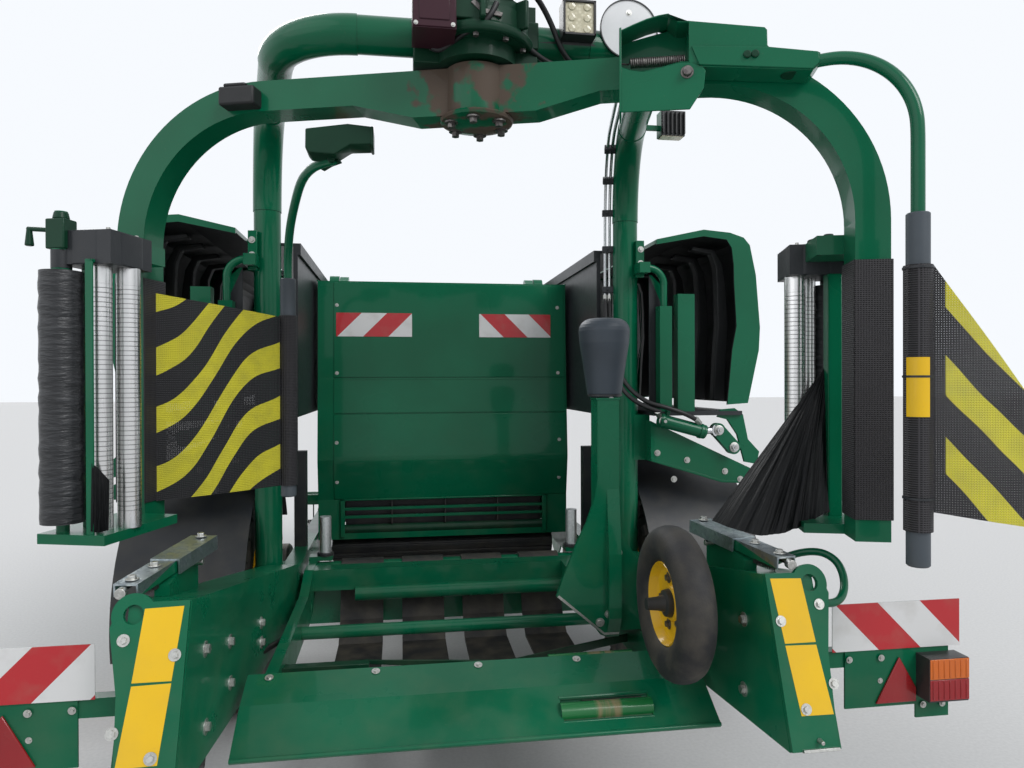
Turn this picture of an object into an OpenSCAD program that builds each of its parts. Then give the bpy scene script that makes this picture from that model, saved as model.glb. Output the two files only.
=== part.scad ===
// Round baler and bale wrapper on one towed chassis.
// X is to the right, Y is the direction of travel, Z is up, and the ground is Z = 0.

/* [Chassis] */
// Distance between the inner faces of the two main rails
rail_gap = 1424; // [1420:4:1440]
// Width of a main rail
rail_w = 80; // [60:5:80]
// Height of a main rail
rail_h = 160; // [140:10:180]
// Height of the rails' top face above the ground
rail_top = 800; // [780:5:810]
// Front end of the low rails, behind the pickup
rail_front = 300; // [290:5:310]
// Underside of the front frame, above the pickup
front_low = 980; // [975:5:1000]
// Front end of the front frame
frame_front = 1150; // [1140:10:1200]
// Rear end of the rails
rail_rear = -1900; // [-1910:5:-1890]
// Height of the rear crossbeam under the rails
crossbeam_h = 160; // [120:10:180]
// Rear face of the rear crossbeam
crossbeam_rear = -1700; // [-1710:5:-1690]
// Length of the rear crossbeam along the machine
crossbeam_l = 200; // [180:10:240]
// Outer end of the consoles that carry the arch
console_out = 915; // [910:1:920]

/* [Running gear] */
// Place of the axle along the machine
axle_y = -1420; // [-1440:10:-1400]
// Outer radius of a road tyre
tyre_r = 585; // [570:5:600]
// Width of a road tyre
tyre_w = 500; // [460:10:520]
// Radius of the rim
rim_r = 290; // [270:5:300]
// Half of the track, to the middle of a tyre
track_half = 1180; // [1170:5:1190]
// Side of the square axle beam
axle_box = 110; // [90:10:110]
// Half length of the square axle beam
axle_half = 880; // [860:10:890]
// Radius of a wheel spindle
spindle_r = 40; // [30:2:44]
// Radial running clearance of pins and spindles
pin_play = 0.05; // [0.02:0.01:0.1]
// Inner radius of a mudguard
guard_r = 645; // [640:5:660]
// Thickness of a mudguard
guard_t = 8; // [4:1:12]
// Outer edge of a mudguard
guard_out = 1452; // [1440:4:1452]

/* [Drawbar] */
// Height of the drawbar's middle at the eye
eye_z = 620; // [560:10:700]
// Place of the eye's centre along the machine
eye_y = 3590; // [3580:2:3600]
// Radius of the hole of the towing eye
eye_hole_r = 26; // [20:1:30]
// Outer radius of the towing eye
eye_r = 60; // [50:1:70]
// Thickness of the towing eye
eye_t = 45; // [30:1:50]
// Place of the parking jack along the machine
jack_y = 2700; // [2600:10:2800]
// Place of the parking jack across the machine
jack_x = 245; // [245:5:260]

/* [Bale chamber] */
// Centre of the bale chamber along the machine
chamber_y = -400; // [-410:5:-390]
// Height of the centre of the bale chamber
chamber_z = 1450; // [1440:5:1460]
// Outer radius of the bale chamber
chamber_r = 745; // [740:5:750]
// Half width over the chamber's side plates
chamber_half = 704; // [700:1:706]
// Thickness of the side plates
side_t = 14; // [8:1:20]
// Radius of a chamber roller
roller_r = 95; // [80:5:100]
// Height of the tailgate's hinge
gate_hinge_z = 2290; // [2280:5:2310]
// Radius of the tailgate's hinge pin
gate_pin_r = 20; // [14:1:24]
// Gap between the tailgate and the fixed chamber
seam = 8; // [6:1:12]

/* [Front hood] */
// Height of the hood's top
hood_top = 2180; // [2160:5:2200]
// Front face of the hood
hood_front = 1080; // [1070:5:1090]
// Height at which the hood starts to slope back
hood_brow = 1750; // [1700:10:1800]
// Lower edge of the hood's front face
hood_chin = 1200; // [1200:5:1220]

/* [Pickup] */
// Place of the reel of the pickup along the machine
reel_y = 640; // [630:5:660]
// Height of the reel of the pickup
reel_z = 430; // [420:5:450]
// Radius over the tips of the tines
tine_tip_r = 265; // [255:5:270]
// Half width of the reel
reel_half = 1000; // [960:10:1000]
// Number of tine bars on the reel
tine_bars = 4; // [3:1:5]
// Distance between two tines of a bar
tine_pitch = 125; // [100:5:200]
// Radius of a gauge wheel of the pickup
gauge_r = 190; // [170:5:200]

/* [Wrapper arch] */
// Distance of a column from the middle of the machine
column_x = 854; // [850:2:860]
// Place of the columns along the machine
column_y = -1820; // [-1830:5:-1810]
// Radius of the column tube
column_r = 60; // [50:2:62]
// Height at which the column starts to bend
column_top = 2430; // [2400:10:2440]
// Radius of the bend at the top of the column
column_bend_r = 350; // [340:10:360]
// Angle by which the arch leans inwards
arch_lean = 12; // [10:1:14]
// Straight length of the arch behind the first bend
arch_run = 500; // [460:10:520]
// Radius of the arch's second bend
arch_turn_r = 300; // [280:10:320]

/* [Rotor] */
// Place of the rotor's axis along the machine
rotor_y = -2950; // [-2960:5:-2940]
// Angle of the rotor about its axis as parked
rotor_turn = -17; // [-20:1:-14]
// Height of the rotor beam's top face
rotor_top = 2650; // [2640:5:2660]
// Height of the rotor beam at the hub
rotor_hub_h = 150; // [130:5:160]
// Depth of the rotor beam's section
arm_w = 110; // [90:5:120]
// Thickness of an arm at its leg
arm_t = 100; // [80:5:110]
// Distance of a leg's middle from the rotor's axis
leg_r = 1200; // [1180:5:1205]
// Radius of the bend between arm and leg
arm_bend_r = 480; // [440:10:500]
// Height of the foot of a leg
leg_foot = 1170; // [1160:5:1200]

/* [Film units] */
// Width of the stretch film
film_w = 750; // [740:5:760]
// Height of the lower end of the film rollers
film_z = 1230; // [1220:5:1240]
// Radius of a partly used film roll
film_roll_r = 62; // [55:1:64]
// Radius of a stretch roller
stretch_r = 34; // [30:1:36]
// Height of the housing on top of a film unit
unit_head_h = 100; // [80:5:120]

/* [Wrapping table] */
// Half width of the table
table_half = 690; // [680:2:694]
// Height of the table's pivot
table_pivot_z = 645; // [640:5:650]
// Place of the table's pivot along the machine
table_pivot_y = -1950; // [-1960:5:-1940]
// Radius of the pins of the table
table_pin_r = 25; // [20:1:30]
// Radius of a table roller
table_roller_r = 55; // [45:1:60]
// Width of a belt
belt_w = 200; // [180:5:220]
// Thickness of a belt
belt_t = 12; // [8:1:14]
// Distance between the middles of two belts
belt_pitch = 290; // [280:5:300]
// Inner face of a side beam at its front end
beam_in = 712; // [710:1:714]
// Width of a side beam
beam_w = 150; // [130:5:160]
// Distance by which a side beam splays over its length
beam_splay = 68.5; // [60:0.5:70]

/* [Film stores] */
// Line of the covers' hinges across the machine
cover_hinge_x = 940; // [938:1:944]
// Height of the covers' hinges
cover_hinge_z = 2306; // [2300:2:2310]
// Front end of a film store
store_front = -560; // [-570:5:-550]
// Rear end of a film store
store_rear = -1980; // [-1990:5:-1975]
// Height of a film store's floor
store_floor = 1480; // [1470:5:1490]
// Front end of the side doors
door_front = 850; // [840:5:860]

/* [Bale tipper] */
// Place of the tipper's post across the machine
post_x = 526; // [520:2:530]
// Place of the tipper's post along the machine
post_y = -2600; // [-2610:5:-2590]
// Height of the post's top
post_top = 1582; // [1570:2:1600]
// Length of the cone roller on the post
cone_h = 300; // [280:5:310]
// Largest radius of the cone roller
cone_r = 98; // [92:1:102]
// Radius of the tipper's wheel
tip_wheel_r = 234; // [228:2:240]
// Height of the tipper's wheel
tip_wheel_z = 962; // [955:1:970]
// Place of the tipper's wheel along the machine
tip_wheel_y = -3170; // [-3180:5:-3160]

/* [Hidden] */
$fn = 48;
EPS = 0.01;
FACE_GAP = 0.3;

rail_in = rail_gap / 2;
riser_y = rail_front - 150;
guard_in = column_x + column_r + 5;
rail_out = rail_in + rail_w;
rail_low = rail_top - rail_h;
elbow_extra = 3;
elbow_lap = 12;

// A box between two corners.
module block(low, high) {
    translate(low) cube(high - low);
}

// A cylinder along X, from x0 to x1.
module bar_x(r, x0, x1, y, z) {
    translate([x0, y, z]) rotate([0, 90, 0]) cylinder(r = r, h = x1 - x0);
}

// A profile drawn in Y and Z, extruded along X from x0 to x1.
module slab_x(x0, x1) {
    translate([x0, 0, 0]) rotate([90, 0, 90]) linear_extrude(height = x1 - x0) children();
}

// A profile drawn in X and Z, extruded along Y from y0 back to y1.
module slab_y(y0, y1) {
    translate([0, y0, 0]) rotate([90, 0, 0]) linear_extrude(height = y0 - y1) children();
}

// Draws a part of the right side, or its mirror image on the left.
module side(s) {
    if (s > 0) children();
    else mirror([1, 0, 0]) children();
}

// A round bar between two points.
module rod(a, b, r) {
    d = b - a;
    l = norm(d);
    translate(a) rotate([0, acos(d[2] / l), atan2(d[1], d[0])]) cylinder(r = r, h = l);
}

module chassis() color("darkgreen") {
    front_top = front_low + rail_h - 20;
    for (s = [-1, 1]) side(s) {
        // low rail, riser behind the pickup and upper beam over it
        slab_x(rail_in, rail_out) polygon([[rail_rear, rail_low], [rail_front, rail_low], [rail_front, front_low],
            [frame_front, front_low], [frame_front, front_top], [rail_front - 90, front_top],
            [rail_front - 90, rail_top + 60], [riser_y, rail_top], [rail_rear, rail_top]]);
        // lug of the pickup's cross tube
        slab_x(rail_in, rail_in + 25) difference() {
            union() {
                translate([pickup_pivot_y, pickup_pivot_z]) circle(r = 75);
                translate([rail_front - 20, pickup_pivot_z - 75]) square([pickup_pivot_y - rail_front + 20, 150]);
            }
            translate([pickup_pivot_y, pickup_pivot_z]) circle(r = 40 + pin_play);
        }
    }
    // front crossbeam
    block([-rail_in - 1, frame_front - 80, front_low], [rail_in + 1, frame_front, front_top]);
    // rear crossbeam under the rails
    block([-rail_out, crossbeam_rear, rail_low - crossbeam_h], [rail_out, crossbeam_rear + crossbeam_l, rail_low]);
    // consoles of the arch
    for (s = [-1, 1]) side(s)
        block([rail_out - 1, column_y - console_half, rail_low], [console_out, column_y + console_half, rail_top]);
}
console_half = 70;

drawbar_root_y = frame_front;
drawbar_root_low = front_low + 5;
drawbar_root_top = front_low + rail_h - 25;
drawbar_nose_y = eye_y - 150;

module drawbar() color("darkgreen") difference() {
    union() {
        // two converging side members
        for (s = [-1, 1]) side(s) hull() {
            block([rail_in - 330, drawbar_root_y, drawbar_root_low + 5], [rail_in - 240, drawbar_root_y + 20, drawbar_root_top - 5]);
            block([0, drawbar_nose_y - 20, eye_z - 60], [70, drawbar_nose_y, eye_z + 60]);
        }
        // mounting flange on the chassis
        block([-rail_in + 200, drawbar_root_y, drawbar_root_low], [rail_in - 200, drawbar_root_y + 18, drawbar_root_top]);
        // plate of the jack
        block([-150, jack_y - 60, jack_plate_z - 40], [jack_x + 60, jack_y + 60, jack_plate_z]);
        // neck and eye
        block([-55, drawbar_nose_y - 40, eye_z - eye_t / 2], [55, eye_y - 30, eye_z + eye_t / 2]);
        translate([0, eye_y, eye_z - eye_t / 2]) cylinder(r = eye_r, h = eye_t);
    }
    translate([0, eye_y, eye_z - eye_t]) cylinder(r = eye_hole_r, h = eye_t * 2);
    translate([jack_x, jack_y, jack_plate_z - 60]) cylinder(r = jack_r + FACE_GAP, h = 80);
}
jack_plate_z = 740;
jack_r = 38;

module parking_jack() color("darkgreen") {
    x = jack_x;
    translate([x, jack_y, 340]) cylinder(r = jack_r, h = 560);
    color("silver") translate([x, jack_y, 20]) cylinder(r = 28, h = 330);
    translate([x, jack_y, 0]) cylinder(r = 110, h = 20);
    translate([x, jack_y, jack_plate_z + FACE_GAP]) cylinder(r = jack_r + 3, h = 12);
    translate([x, jack_y, 900 - EPS]) cylinder(r = 30, h = 60);
    rod([x, jack_y, 940], [x + 150, jack_y, 940], 10);
}

module axle() color("dimgray") {
    low = rail_low - axle_box;
    block([-axle_half, axle_y - axle_box / 2, low], [axle_half, axle_y + axle_box / 2, rail_low]);
    for (s = [-1, 1]) side(s)
        bar_x(spindle_r, axle_half, track_half + 60, axle_y, tyre_r);
}

module tyre(s) side(s) color([0.07, 0.07, 0.07]) translate([track_half, axle_y, tyre_r]) rotate([0, 90, 0])
    rotate_extrude($fn = 96) polygon([
        [rim_r, -tyre_w / 2 + 60], [rim_r + 60, -tyre_w / 2 + 12], [tyre_r - 150, -tyre_w / 2],
        [tyre_r - 50, -tyre_w / 2 + 18], [tyre_r, -tyre_w / 2 + 60], [tyre_r, tyre_w / 2 - 60],
        [tyre_r - 50, tyre_w / 2 - 18], [tyre_r - 150, tyre_w / 2], [rim_r + 60, tyre_w / 2 - 12],
        [rim_r, tyre_w / 2 - 60]]);

module rim(s) side(s) color("gold") translate([track_half, axle_y, tyre_r]) rotate([0, 90, 0]) {
    half = tyre_w / 2 - 60;
    rotate_extrude($fn = 96) polygon([
        [rim_r - 12, -half], [rim_r, -half], [rim_r, half], [rim_r - 12, half],
        [rim_r - 20, 60], [110, 30], [110, 60], [spindle_r + pin_play, 60],
        [spindle_r + pin_play, -half], [110, -half], [110, 15], [rim_r - 20, 40]]);
}

module mudguard(s) side(s) color([0.06, 0.07, 0.08]) {
    translate([guard_in, axle_y, tyre_r]) rotate([90, 0, 90]) rotate([0, 0, 25])
        rotate_extrude(angle = 165, $fn = 96) polygon([
            [guard_r, 0], [guard_r + guard_t, 0], [guard_r + guard_t, guard_out - guard_in],
            [guard_r, guard_out - guard_in]]);
    // stay on the rail
    crown = tyre_r + guard_r + guard_t / 2;
    block([rail_out - 60, axle_y - 30, rail_top + FACE_GAP], [rail_out, axle_y + 30, crown + 56]);
    block([rail_out - 60, axle_y - 30, crown], [guard_out - 150, axle_y + 30, crown + 56]);
}

// Outline of the chamber's side in Y and Z: round at the front and top, straight at the seam.
module chamber_outline(r) {
    intersection() {
        translate([chamber_y, chamber_z]) circle(r = r, $fn = 96);
        translate([chamber_y + seam / 2, chamber_z - r]) square([r, 2 * r]);
    }
    translate([chamber_y + seam / 2, rail_top]) square([chamber_foot_y - chamber_y - seam / 2, chamber_z - rail_top]);
}
chamber_foot_y = riser_y - 14;

module chamber() color("darkgreen") {
    for (s = [-1, 1]) side(s) {
        slab_x(chamber_half - side_t, chamber_half) chamber_outline(chamber_r);
        // foot flange on the rail
        block([chamber_half - side_t, chamber_y + 20, rail_top], [rail_out, chamber_foot_y, rail_top + 12]);
        // ear that carries the tailgate's pin
        slab_x(chamber_half - 60, chamber_half) difference() {
            union() {
                translate([chamber_y, gate_hinge_z]) circle(r = 50);
                translate([chamber_y, chamber_z + chamber_r - 40]) square([110, gate_hinge_z - chamber_z - chamber_r + 60]);
            }
        }
        bar_x(gate_pin_r, chamber_half - 120, chamber_half - 59, chamber_y, gate_hinge_z);
    }
    // front and top skin between the sides
    slab_x(-chamber_half + side_t - EPS, chamber_half - side_t + EPS) difference() {
        intersection() {
            translate([chamber_y, chamber_z]) circle(r = chamber_r - 5, $fn = 96);
            translate([chamber_y + seam / 2, chamber_z - 200]) square([chamber_r, 200 + chamber_r]);
        }
        translate([chamber_y, chamber_z]) circle(r = chamber_r - 20, $fn = 96);
    }
    // rollers round the front of the chamber
    for (a = [-50, -78]) bar_x(roller_r, -chamber_half + side_t - EPS, chamber_half - side_t + EPS,
        chamber_y + (chamber_r - roller_r - 20) * cos(a), chamber_z + (chamber_r - roller_r - 20) * sin(a));
}

gate_rear = -1154;
gate_low = 767;
gate_top = 2211;
module gate_outline(inset) {
    polygon([[chamber_y - seam / 2, rail_top + 40 + inset], [chamber_y - 300, rail_top + 10 + inset],
             [gate_rear + 200, gate_low + inset], [gate_rear + inset, gate_low + inset],
             [gate_rear + inset, 990], [gate_rear - 40 + inset, 1214],
             [gate_rear - 20 + inset, 1467], [gate_rear + inset, 1669], [gate_rear + 20 + inset, gate_top - inset],
             [gate_rear + 200, gate_top + 20 - inset], [chamber_y - seam / 2, chamber_z + chamber_r - inset]]);
}

module tailgate() color("darkgreen") {
    for (s = [-1, 1]) side(s) {
        slab_x(chamber_half - side_t, chamber_half) gate_outline(0);
        slab_x(chamber_half - 120, chamber_half - 66) difference() {
            union() {
                translate([chamber_y, gate_hinge_z]) circle(r = 45);
                polygon([[chamber_y - 30, gate_hinge_z + 34], [chamber_y - 260, gate_top - 30],
                         [chamber_y - 80, chamber_z + chamber_r - 40], [chamber_y + 10, gate_hinge_z - 43]]);
            }
            translate([chamber_y, gate_hinge_z]) circle(r = gate_pin_r + pin_play);
        }
    }
    difference() {
        slab_x(-chamber_half + side_t - EPS, chamber_half - side_t + EPS) difference() {
            gate_outline(0);
            gate_outline(14);
            translate([chamber_y - seam / 2 - 30, rail_top]) square([60, chamber_r * 2 - 80]);
            translate([gate_rear + 60, gate_low - 10]) square([800, 60]);
        }
        block([-net_slot_half, gate_rear - 10, net_slot_low], [net_slot_half, gate_rear + 30, net_slot_top]);
    }
    // roller and bars in the slot of the net wrap
    bar_x(26, -net_slot_half - 4, net_slot_half + 4, gate_rear + 20, net_slot_low + 18);
    for (z = [net_slot_top - 100, net_slot_top - 55])
        block([-net_slot_half - 1, gate_rear - 1, z], [net_slot_half + 1, gate_rear + 13, z + 15]);
}
net_slot_half = 560;
net_slot_low = 800;
net_slot_top = 982;

hood_rear = chamber_y + chamber_r + 10;
bracket_low = chamber_z - 150;
bracket_top = chamber_z + 50;
module hood_outline() {
    polygon([[hood_rear, hood_chin - 50], [hood_front - 120, hood_chin - 120], [hood_front, hood_chin],
             [hood_front, hood_brow], [hood_front - 160, hood_top - 100], [hood_front - 420, hood_top],
             [hood_rear, hood_top]]);
}
module front_hood() color("darkgreen") {
    difference() {
        slab_x(-chamber_half, chamber_half) hood_outline();
        slab_x(-chamber_half + 20, chamber_half - 20) offset(delta = -20) hood_outline();
        block([-chamber_half + 20, hood_rear - 60, hood_chin + 100], [chamber_half - 20, hood_rear + 50, hood_top - 80]);
    }
    for (s = [-1, 1]) side(s) {
        // bracket to the chamber's side
        block([chamber_half + FACE_GAP, hood_rear - 160, bracket_low], [chamber_half + 12, hood_rear + 50, bracket_top]);
        block([chamber_half - 20, hood_rear + 1, bracket_low], [chamber_half + 12, hood_rear + 50, bracket_top]);
        // foot on the front frame
        block([chamber_half - 20, hood_front - 200, front_low + rail_h - 20 + FACE_GAP], [rail_out, hood_front - 120, hood_chin - 20]);
    }
}

gearbox_z = 980;
gearbox_l = 220;
module drive_gearbox() {
    color("darkgreen") block([-110, frame_front + 18, gearbox_z - 110], [110, frame_front + gearbox_l, gearbox_z + 110]);
    color("silver") translate([0, frame_front + gearbox_l - 10, gearbox_z]) rotate([-90, 0, 0])
        cylinder(r = 17.5, h = 110);
}

pickup_pivot_y = 350;
pickup_pivot_z = 760;
module pickup_frame() color("darkgreen") {
    for (s = [-1, 1]) side(s) {
        slab_x(reel_half + 20, reel_half + 32) difference() {
            union() {
                translate([reel_y, reel_z]) circle(r = 215);
                polygon([[reel_y - 150, reel_z + 150], [pickup_pivot_y - 40, pickup_pivot_z + 20],
                         [pickup_pivot_y + 40, pickup_pivot_z + 20], [reel_y + 100, reel_z + 190]]);
            }
            translate([reel_y, reel_z]) circle(r = 30 + pin_play);
        }
        // arm and stub of the gauge wheel
        slab_x(reel_half + 20, reel_half + 32) {
            translate([reel_y - 60, gauge_r]) circle(r = 36);
            polygon([[reel_y - 96, gauge_r], [reel_y - 24, gauge_r], [reel_y + 30, reel_z - 150], [reel_y - 120, reel_z - 150]]);
        }
        bar_x(14, reel_half + 31, reel_half + 190, reel_y - 60, gauge_r);
    }
    // cross tube at the back
    bar_x(40, -reel_half - 21, reel_half + 21, pickup_pivot_y, pickup_pivot_z);
    // crop guard in front
    bar_x(28, -reel_half - 21, reel_half + 21, reel_y + 250, reel_z + 280);
    for (s = [-1, 1]) side(s) rod([reel_half + 26, reel_y + 250, reel_z + 280], [reel_half + 26, reel_y + 40, reel_z + 150], 14);
}

module pickup_reel() color("dimgray") {
    bar_x(30, -reel_half - 32, reel_half + 32, reel_y, reel_z);
    n = floor(2 * (reel_half - 40) / tine_pitch);
    for (b = [0 : tine_bars - 1]) translate([0, reel_y, reel_z]) rotate([b * 360 / tine_bars, 0, 0]) {
        bar_x(14, -reel_half + 20, reel_half - 20, 110, 0);
        for (i = [0 : n]) translate([-n * tine_pitch / 2 + i * tine_pitch, 110, 0]) rotate([-90, 0, 0])
            cylinder(r = 5, h = tine_tip_r - 110, $fn = 6);
    }
    for (x = [-reel_half + 30, 0, reel_half - 38]) translate([x, reel_y, reel_z]) rotate([0, 90, 0]) cylinder(r = 120, h = 8);
}

module gauge_wheel(s) side(s) color("black") translate([reel_half + 100, reel_y - 60, gauge_r])
    rotate([0, 90, 0]) rotate_extrude() polygon([[14 + pin_play, 5], [14 + pin_play, 80], [60, 80], [60, 60], [120, 60],
        [120, 95], [gauge_r - 15, 95], [gauge_r, 80], [gauge_r, 20], [gauge_r - 15, 5]]);

store_in = 945;
wall_x = 730;
module film_store(s) side(s) color([0.08, 0.09, 0.10]) {
    // floor, notched round the column
    translate([0, 0, store_floor]) linear_extrude(height = 20) polygon([[wall_x, store_front], [1392, store_front],
        [1392, store_rear], [store_in, store_rear], [store_in, column_y + 80], [wall_x, column_y + 80]]);
    // inner wall, roof strip and its posts
    block([wall_x, column_y + 80, store_floor + 19], [wall_x + 20, store_front, 2251]);
    block([chamber_half + 12, column_y + 80, 2250], [wall_x + 20, door_front, 2291]);
    block([chamber_half + 12, column_y + 80, 2290], [cover_hinge_x - 20, door_front, 2305]);
    block([chamber_half + 12, 600, front_low + rail_h - 20 + FACE_GAP], [wall_x + 20, 660, 2251]);
    block([chamber_half + 12, -200, rail_top + 12 + FACE_GAP], [wall_x + 20, -140, 2251]);
    for (y = concat(STORE_KNUCKLES, DOOR_KNUCKLES)) cover_seat(y);
    // bulkhead behind the posts
    slab_y(store_rear + 75, store_rear + 69) polygon([[store_in + 1, store_floor + 19], [1040, store_floor + 19],
        [1040, 1950], [1000, 2120], [960, 2160], [store_in + 1, 2160]]);
    color("darkgreen") {
        for (p = ROLL_POSTS) roll_post(p[0], p[1], p[2]);
        hoop();
        // clamps on the column, the lower one for the sloping beam
        difference() {
            union() {
                block([column_x, column_y - 55, beam_root_low], [960, column_y + 80, store_floor + 1]);
                block([column_x + 26, store_rear + 8, hoop_top - 25], [column_x + 78, column_y - 10, hoop_top + 25]);
            }
            translate([column_x, column_y, beam_root_low - 20]) cylinder(r = column_r + FACE_GAP, h = 1200);
        }
        slab_y(column_y - 50, fold_y) polygon([[940, beam_root_low], [940, 1454], [1499, 1194], [1483, 1140], [1300, 1150]]);
        // hydraulic cylinder, link and lever on the beam's rear face
        rod([968, fold_y - 35, 1461], [1190, fold_y - 35, 1402], 32);
        link(LINK_PINS[0], LINK_PINS[1], 34, fold_y - 16, fold_y - 52);
        slab_y(fold_y + 1, fold_y - 14) polygon([[1273, 1470], [1286, 1507], [1361, 1513], [1404, 1482], [1430, 1360],
            [1488, 1299], [1475, 1238], [1412, 1250], [1374, 1385], [1324, 1458]]);
    }
    color("silver") {
        rod([1180, fold_y - 35, 1404.6], [LINK_PINS[0][0], fold_y - 35, LINK_PINS[0][1]], 16);
        for (p = concat(LINK_PINS, [[985, 1456]])) slab_y(fold_y + 1, fold_y - 74) translate(p) circle(r = 15);
    }
}
fold_y = column_y - 130;
beam_root_low = store_floor - 220;
// Pins of the cylinder's link, in X and Z.
LINK_PINS = [[1262, 1409], [1339, 1326]];
// Posts that hold the spare rolls: inner edge, outer edge and top.
ROLL_POSTS = [[976, 1036, 2005], [1066, 1150, 2064]];
post_wall = 6;
module roll_post(x0, x1, top) difference() {
    block([x0, store_rear, store_floor + 19], [x1, store_rear + 60, top]);
    block([x0 + post_wall, store_rear + post_wall, store_floor + 60], [x1 - post_wall, store_rear + 61, top + 1]);
}
hoop_r = 16;
hoop_bend = 80;
hoop_top = 2190;
// Bowed tube from the inner roll post to the column.
module hoop() {
    x = (ROLL_POSTS[0][0] + ROLL_POSTS[0][1]) / 2;
    y = store_rear + 30;
    foot = ROLL_POSTS[0][2] - 40;
    block([x - 25, store_rear + 1, foot], [x + 25, store_rear + 59, foot + 20]);
    translate([x, y, foot + 19]) cylinder(r = hoop_r, h = hoop_top - hoop_bend - foot - 19 + 6);
    translate([x - hoop_bend, y, hoop_top - hoop_bend]) rotate([90, 0, 0])
        rotate_extrude(angle = 90) translate([hoop_bend, 0]) circle(r = hoop_r + 1);
    bar_x(hoop_r, column_x + 60, x - hoop_bend + 6, y, hoop_top);
}
// Flat link with round ends between two pins in X and Z.
module link(a, b, r, y0, y1) slab_y(y0, y1) {
    d = b - a;
    translate(a) circle(r = r);
    translate(b) circle(r = r);
    translate(a) rotate([0, 0, atan2(d[1], d[0])]) translate([0, -r * 0.96]) square([norm(d), r * 1.92]);
}

STORE_KNUCKLES = [-1640, -700];
DOOR_KNUCKLES = [-440, 750];
knuckle_r = 14;
knuckle_half = 50;
hinge_pin_r = 8;
// Two lugs and a pin that carry one knuckle of a cover.
module cover_seat(y) {
    for (a = [y + knuckle_half + 25, y - knuckle_half - 5]) slab_y(a, a - 20) {
        translate([cover_hinge_x, cover_hinge_z]) circle(r = 15);
        polygon([[cover_hinge_x - 40, 2290], [cover_hinge_x - 40, 2305], [cover_hinge_x, cover_hinge_z + 15],
            [cover_hinge_x, cover_hinge_z - 15]]);
    }
    translate([cover_hinge_x, y + knuckle_half + 25, cover_hinge_z]) rotate([90, 0, 0])
        cylinder(r = hinge_pin_r, h = 2 * knuckle_half + 50);
}
// Cross-section of a gull-wing cover of the right side: outer X and Z, inner X and Z, and X and Z of the end rim's edge.
COVER = [[962, 2323, 962, 2305, 962, 2299], [1197, 2375, 1195, 2357, 1197, 2343], [1331, 2364, 1328, 2346, 1314, 2330],
         [1401, 2342, 1391, 2326, 1340, 2290], [1433, 2306, 1416, 2298, 1350, 2210], [1464, 2161, 1446, 2158, 1352, 2120],
         [1485, 1906, 1467, 1906, 1364, 1912], [1479, 1796, 1461, 1799, 1342, 1797], [1422, 1538, 1404, 1540, 1316, 1531]];
cover_rim_t = 12;
module cover_outline(inner) polygon(concat([for (c = COVER) [c[0], c[1]]],
    [for (i = [len(COVER) - 1 : -1 : 0]) [COVER[i][inner], COVER[i][inner + 1]]]));
module gull_cover(s, y0, y1, knuckles) side(s) color("darkgreen") {
    slab_y(y0, y1) cover_outline(2);
    // rims that stiffen both ends
    for (y = [y0, y1 + cover_rim_t]) slab_y(y, y - cover_rim_t) cover_outline(4);
    for (y = knuckles) difference() {
        slab_y(y + knuckle_half, y - knuckle_half) {
            translate([cover_hinge_x, cover_hinge_z]) circle(r = knuckle_r);
            polygon([[cover_hinge_x, cover_hinge_z + knuckle_r], [964, 2323], [964, 2306], [cover_hinge_x, cover_hinge_z - knuckle_r]]);
        }
        translate([cover_hinge_x, y + knuckle_half + 1, cover_hinge_z]) rotate([90, 0, 0])
            cylinder(r = hinge_pin_r + pin_play, h = 2 * knuckle_half + 2);
    }
}

module arch_side() {
    translate([column_x, column_y, rail_top]) cylinder(r = column_r, h = column_top - rail_top + elbow_lap);
    translate([column_x, column_y, column_top]) rotate([0, 0, -arch_lean]) {
        translate([0, -column_bend_r, 0]) rotate([90, 0, 90]) rotate_extrude(angle = 90, $fn = 48)
            translate([column_bend_r, 0]) circle(r = column_r + elbow_extra);
        translate([0, -column_bend_r + elbow_lap, column_bend_r]) rotate([90, 0, 0])
            cylinder(r = column_r, h = arch_run + 2 * elbow_lap);
        translate([-arch_turn_r, -column_bend_r - arch_run, column_bend_r])
            rotate([0, 0, -(90 - arch_lean)]) rotate_extrude(angle = 90 - arch_lean, $fn = 48)
            translate([arch_turn_r, 0]) circle(r = column_r + elbow_extra);
    }
    end_x = column_x - (column_bend_r + arch_run) * sin(arch_lean) - arch_turn_r * cos(arch_lean);
    end_y = column_y - (column_bend_r + arch_run) * cos(arch_lean) + arch_turn_r * sin(arch_lean) - arch_turn_r;
    bar_x(column_r, 200, end_x + elbow_lap, end_y, column_top + column_bend_r);
}
arch_y = column_y - (column_bend_r + arch_run) * cos(arch_lean) + arch_turn_r * sin(arch_lean) - arch_turn_r;
arch_z = column_top + column_bend_r;

lamp_size = 110;
module wrapper_arch() {
    color("darkgreen") for (s = [-1, 1]) side(s) arch_side();
    color("dimgray") {
        // work lamps on the arch
        block([278, arch_y - column_r - 45, arch_z - 5], [278 + lamp_size, arch_y - column_r + 10, arch_z + lamp_size]);
        block([900, -2210, arch_z - 40], [900 + lamp_size, -2150, arch_z + lamp_size - 40]);
        block([780, -2185, arch_z - 10], [901, -2165, arch_z + 10]);
        // bracket of the blank disc
        block([500, arch_y - column_r + 5, arch_z - 20], [530, arch_y + 20, arch_z + 20]);
        block([500, arch_y - column_r + 1, arch_z - 30], [530, arch_y - column_r + 9, arch_z + 130]);
    }
    color("white") translate([515, arch_y - column_r + 2, arch_z + 50]) rotate([90, 0, 0]) cylinder(r = 100, h = 4);
}

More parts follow.
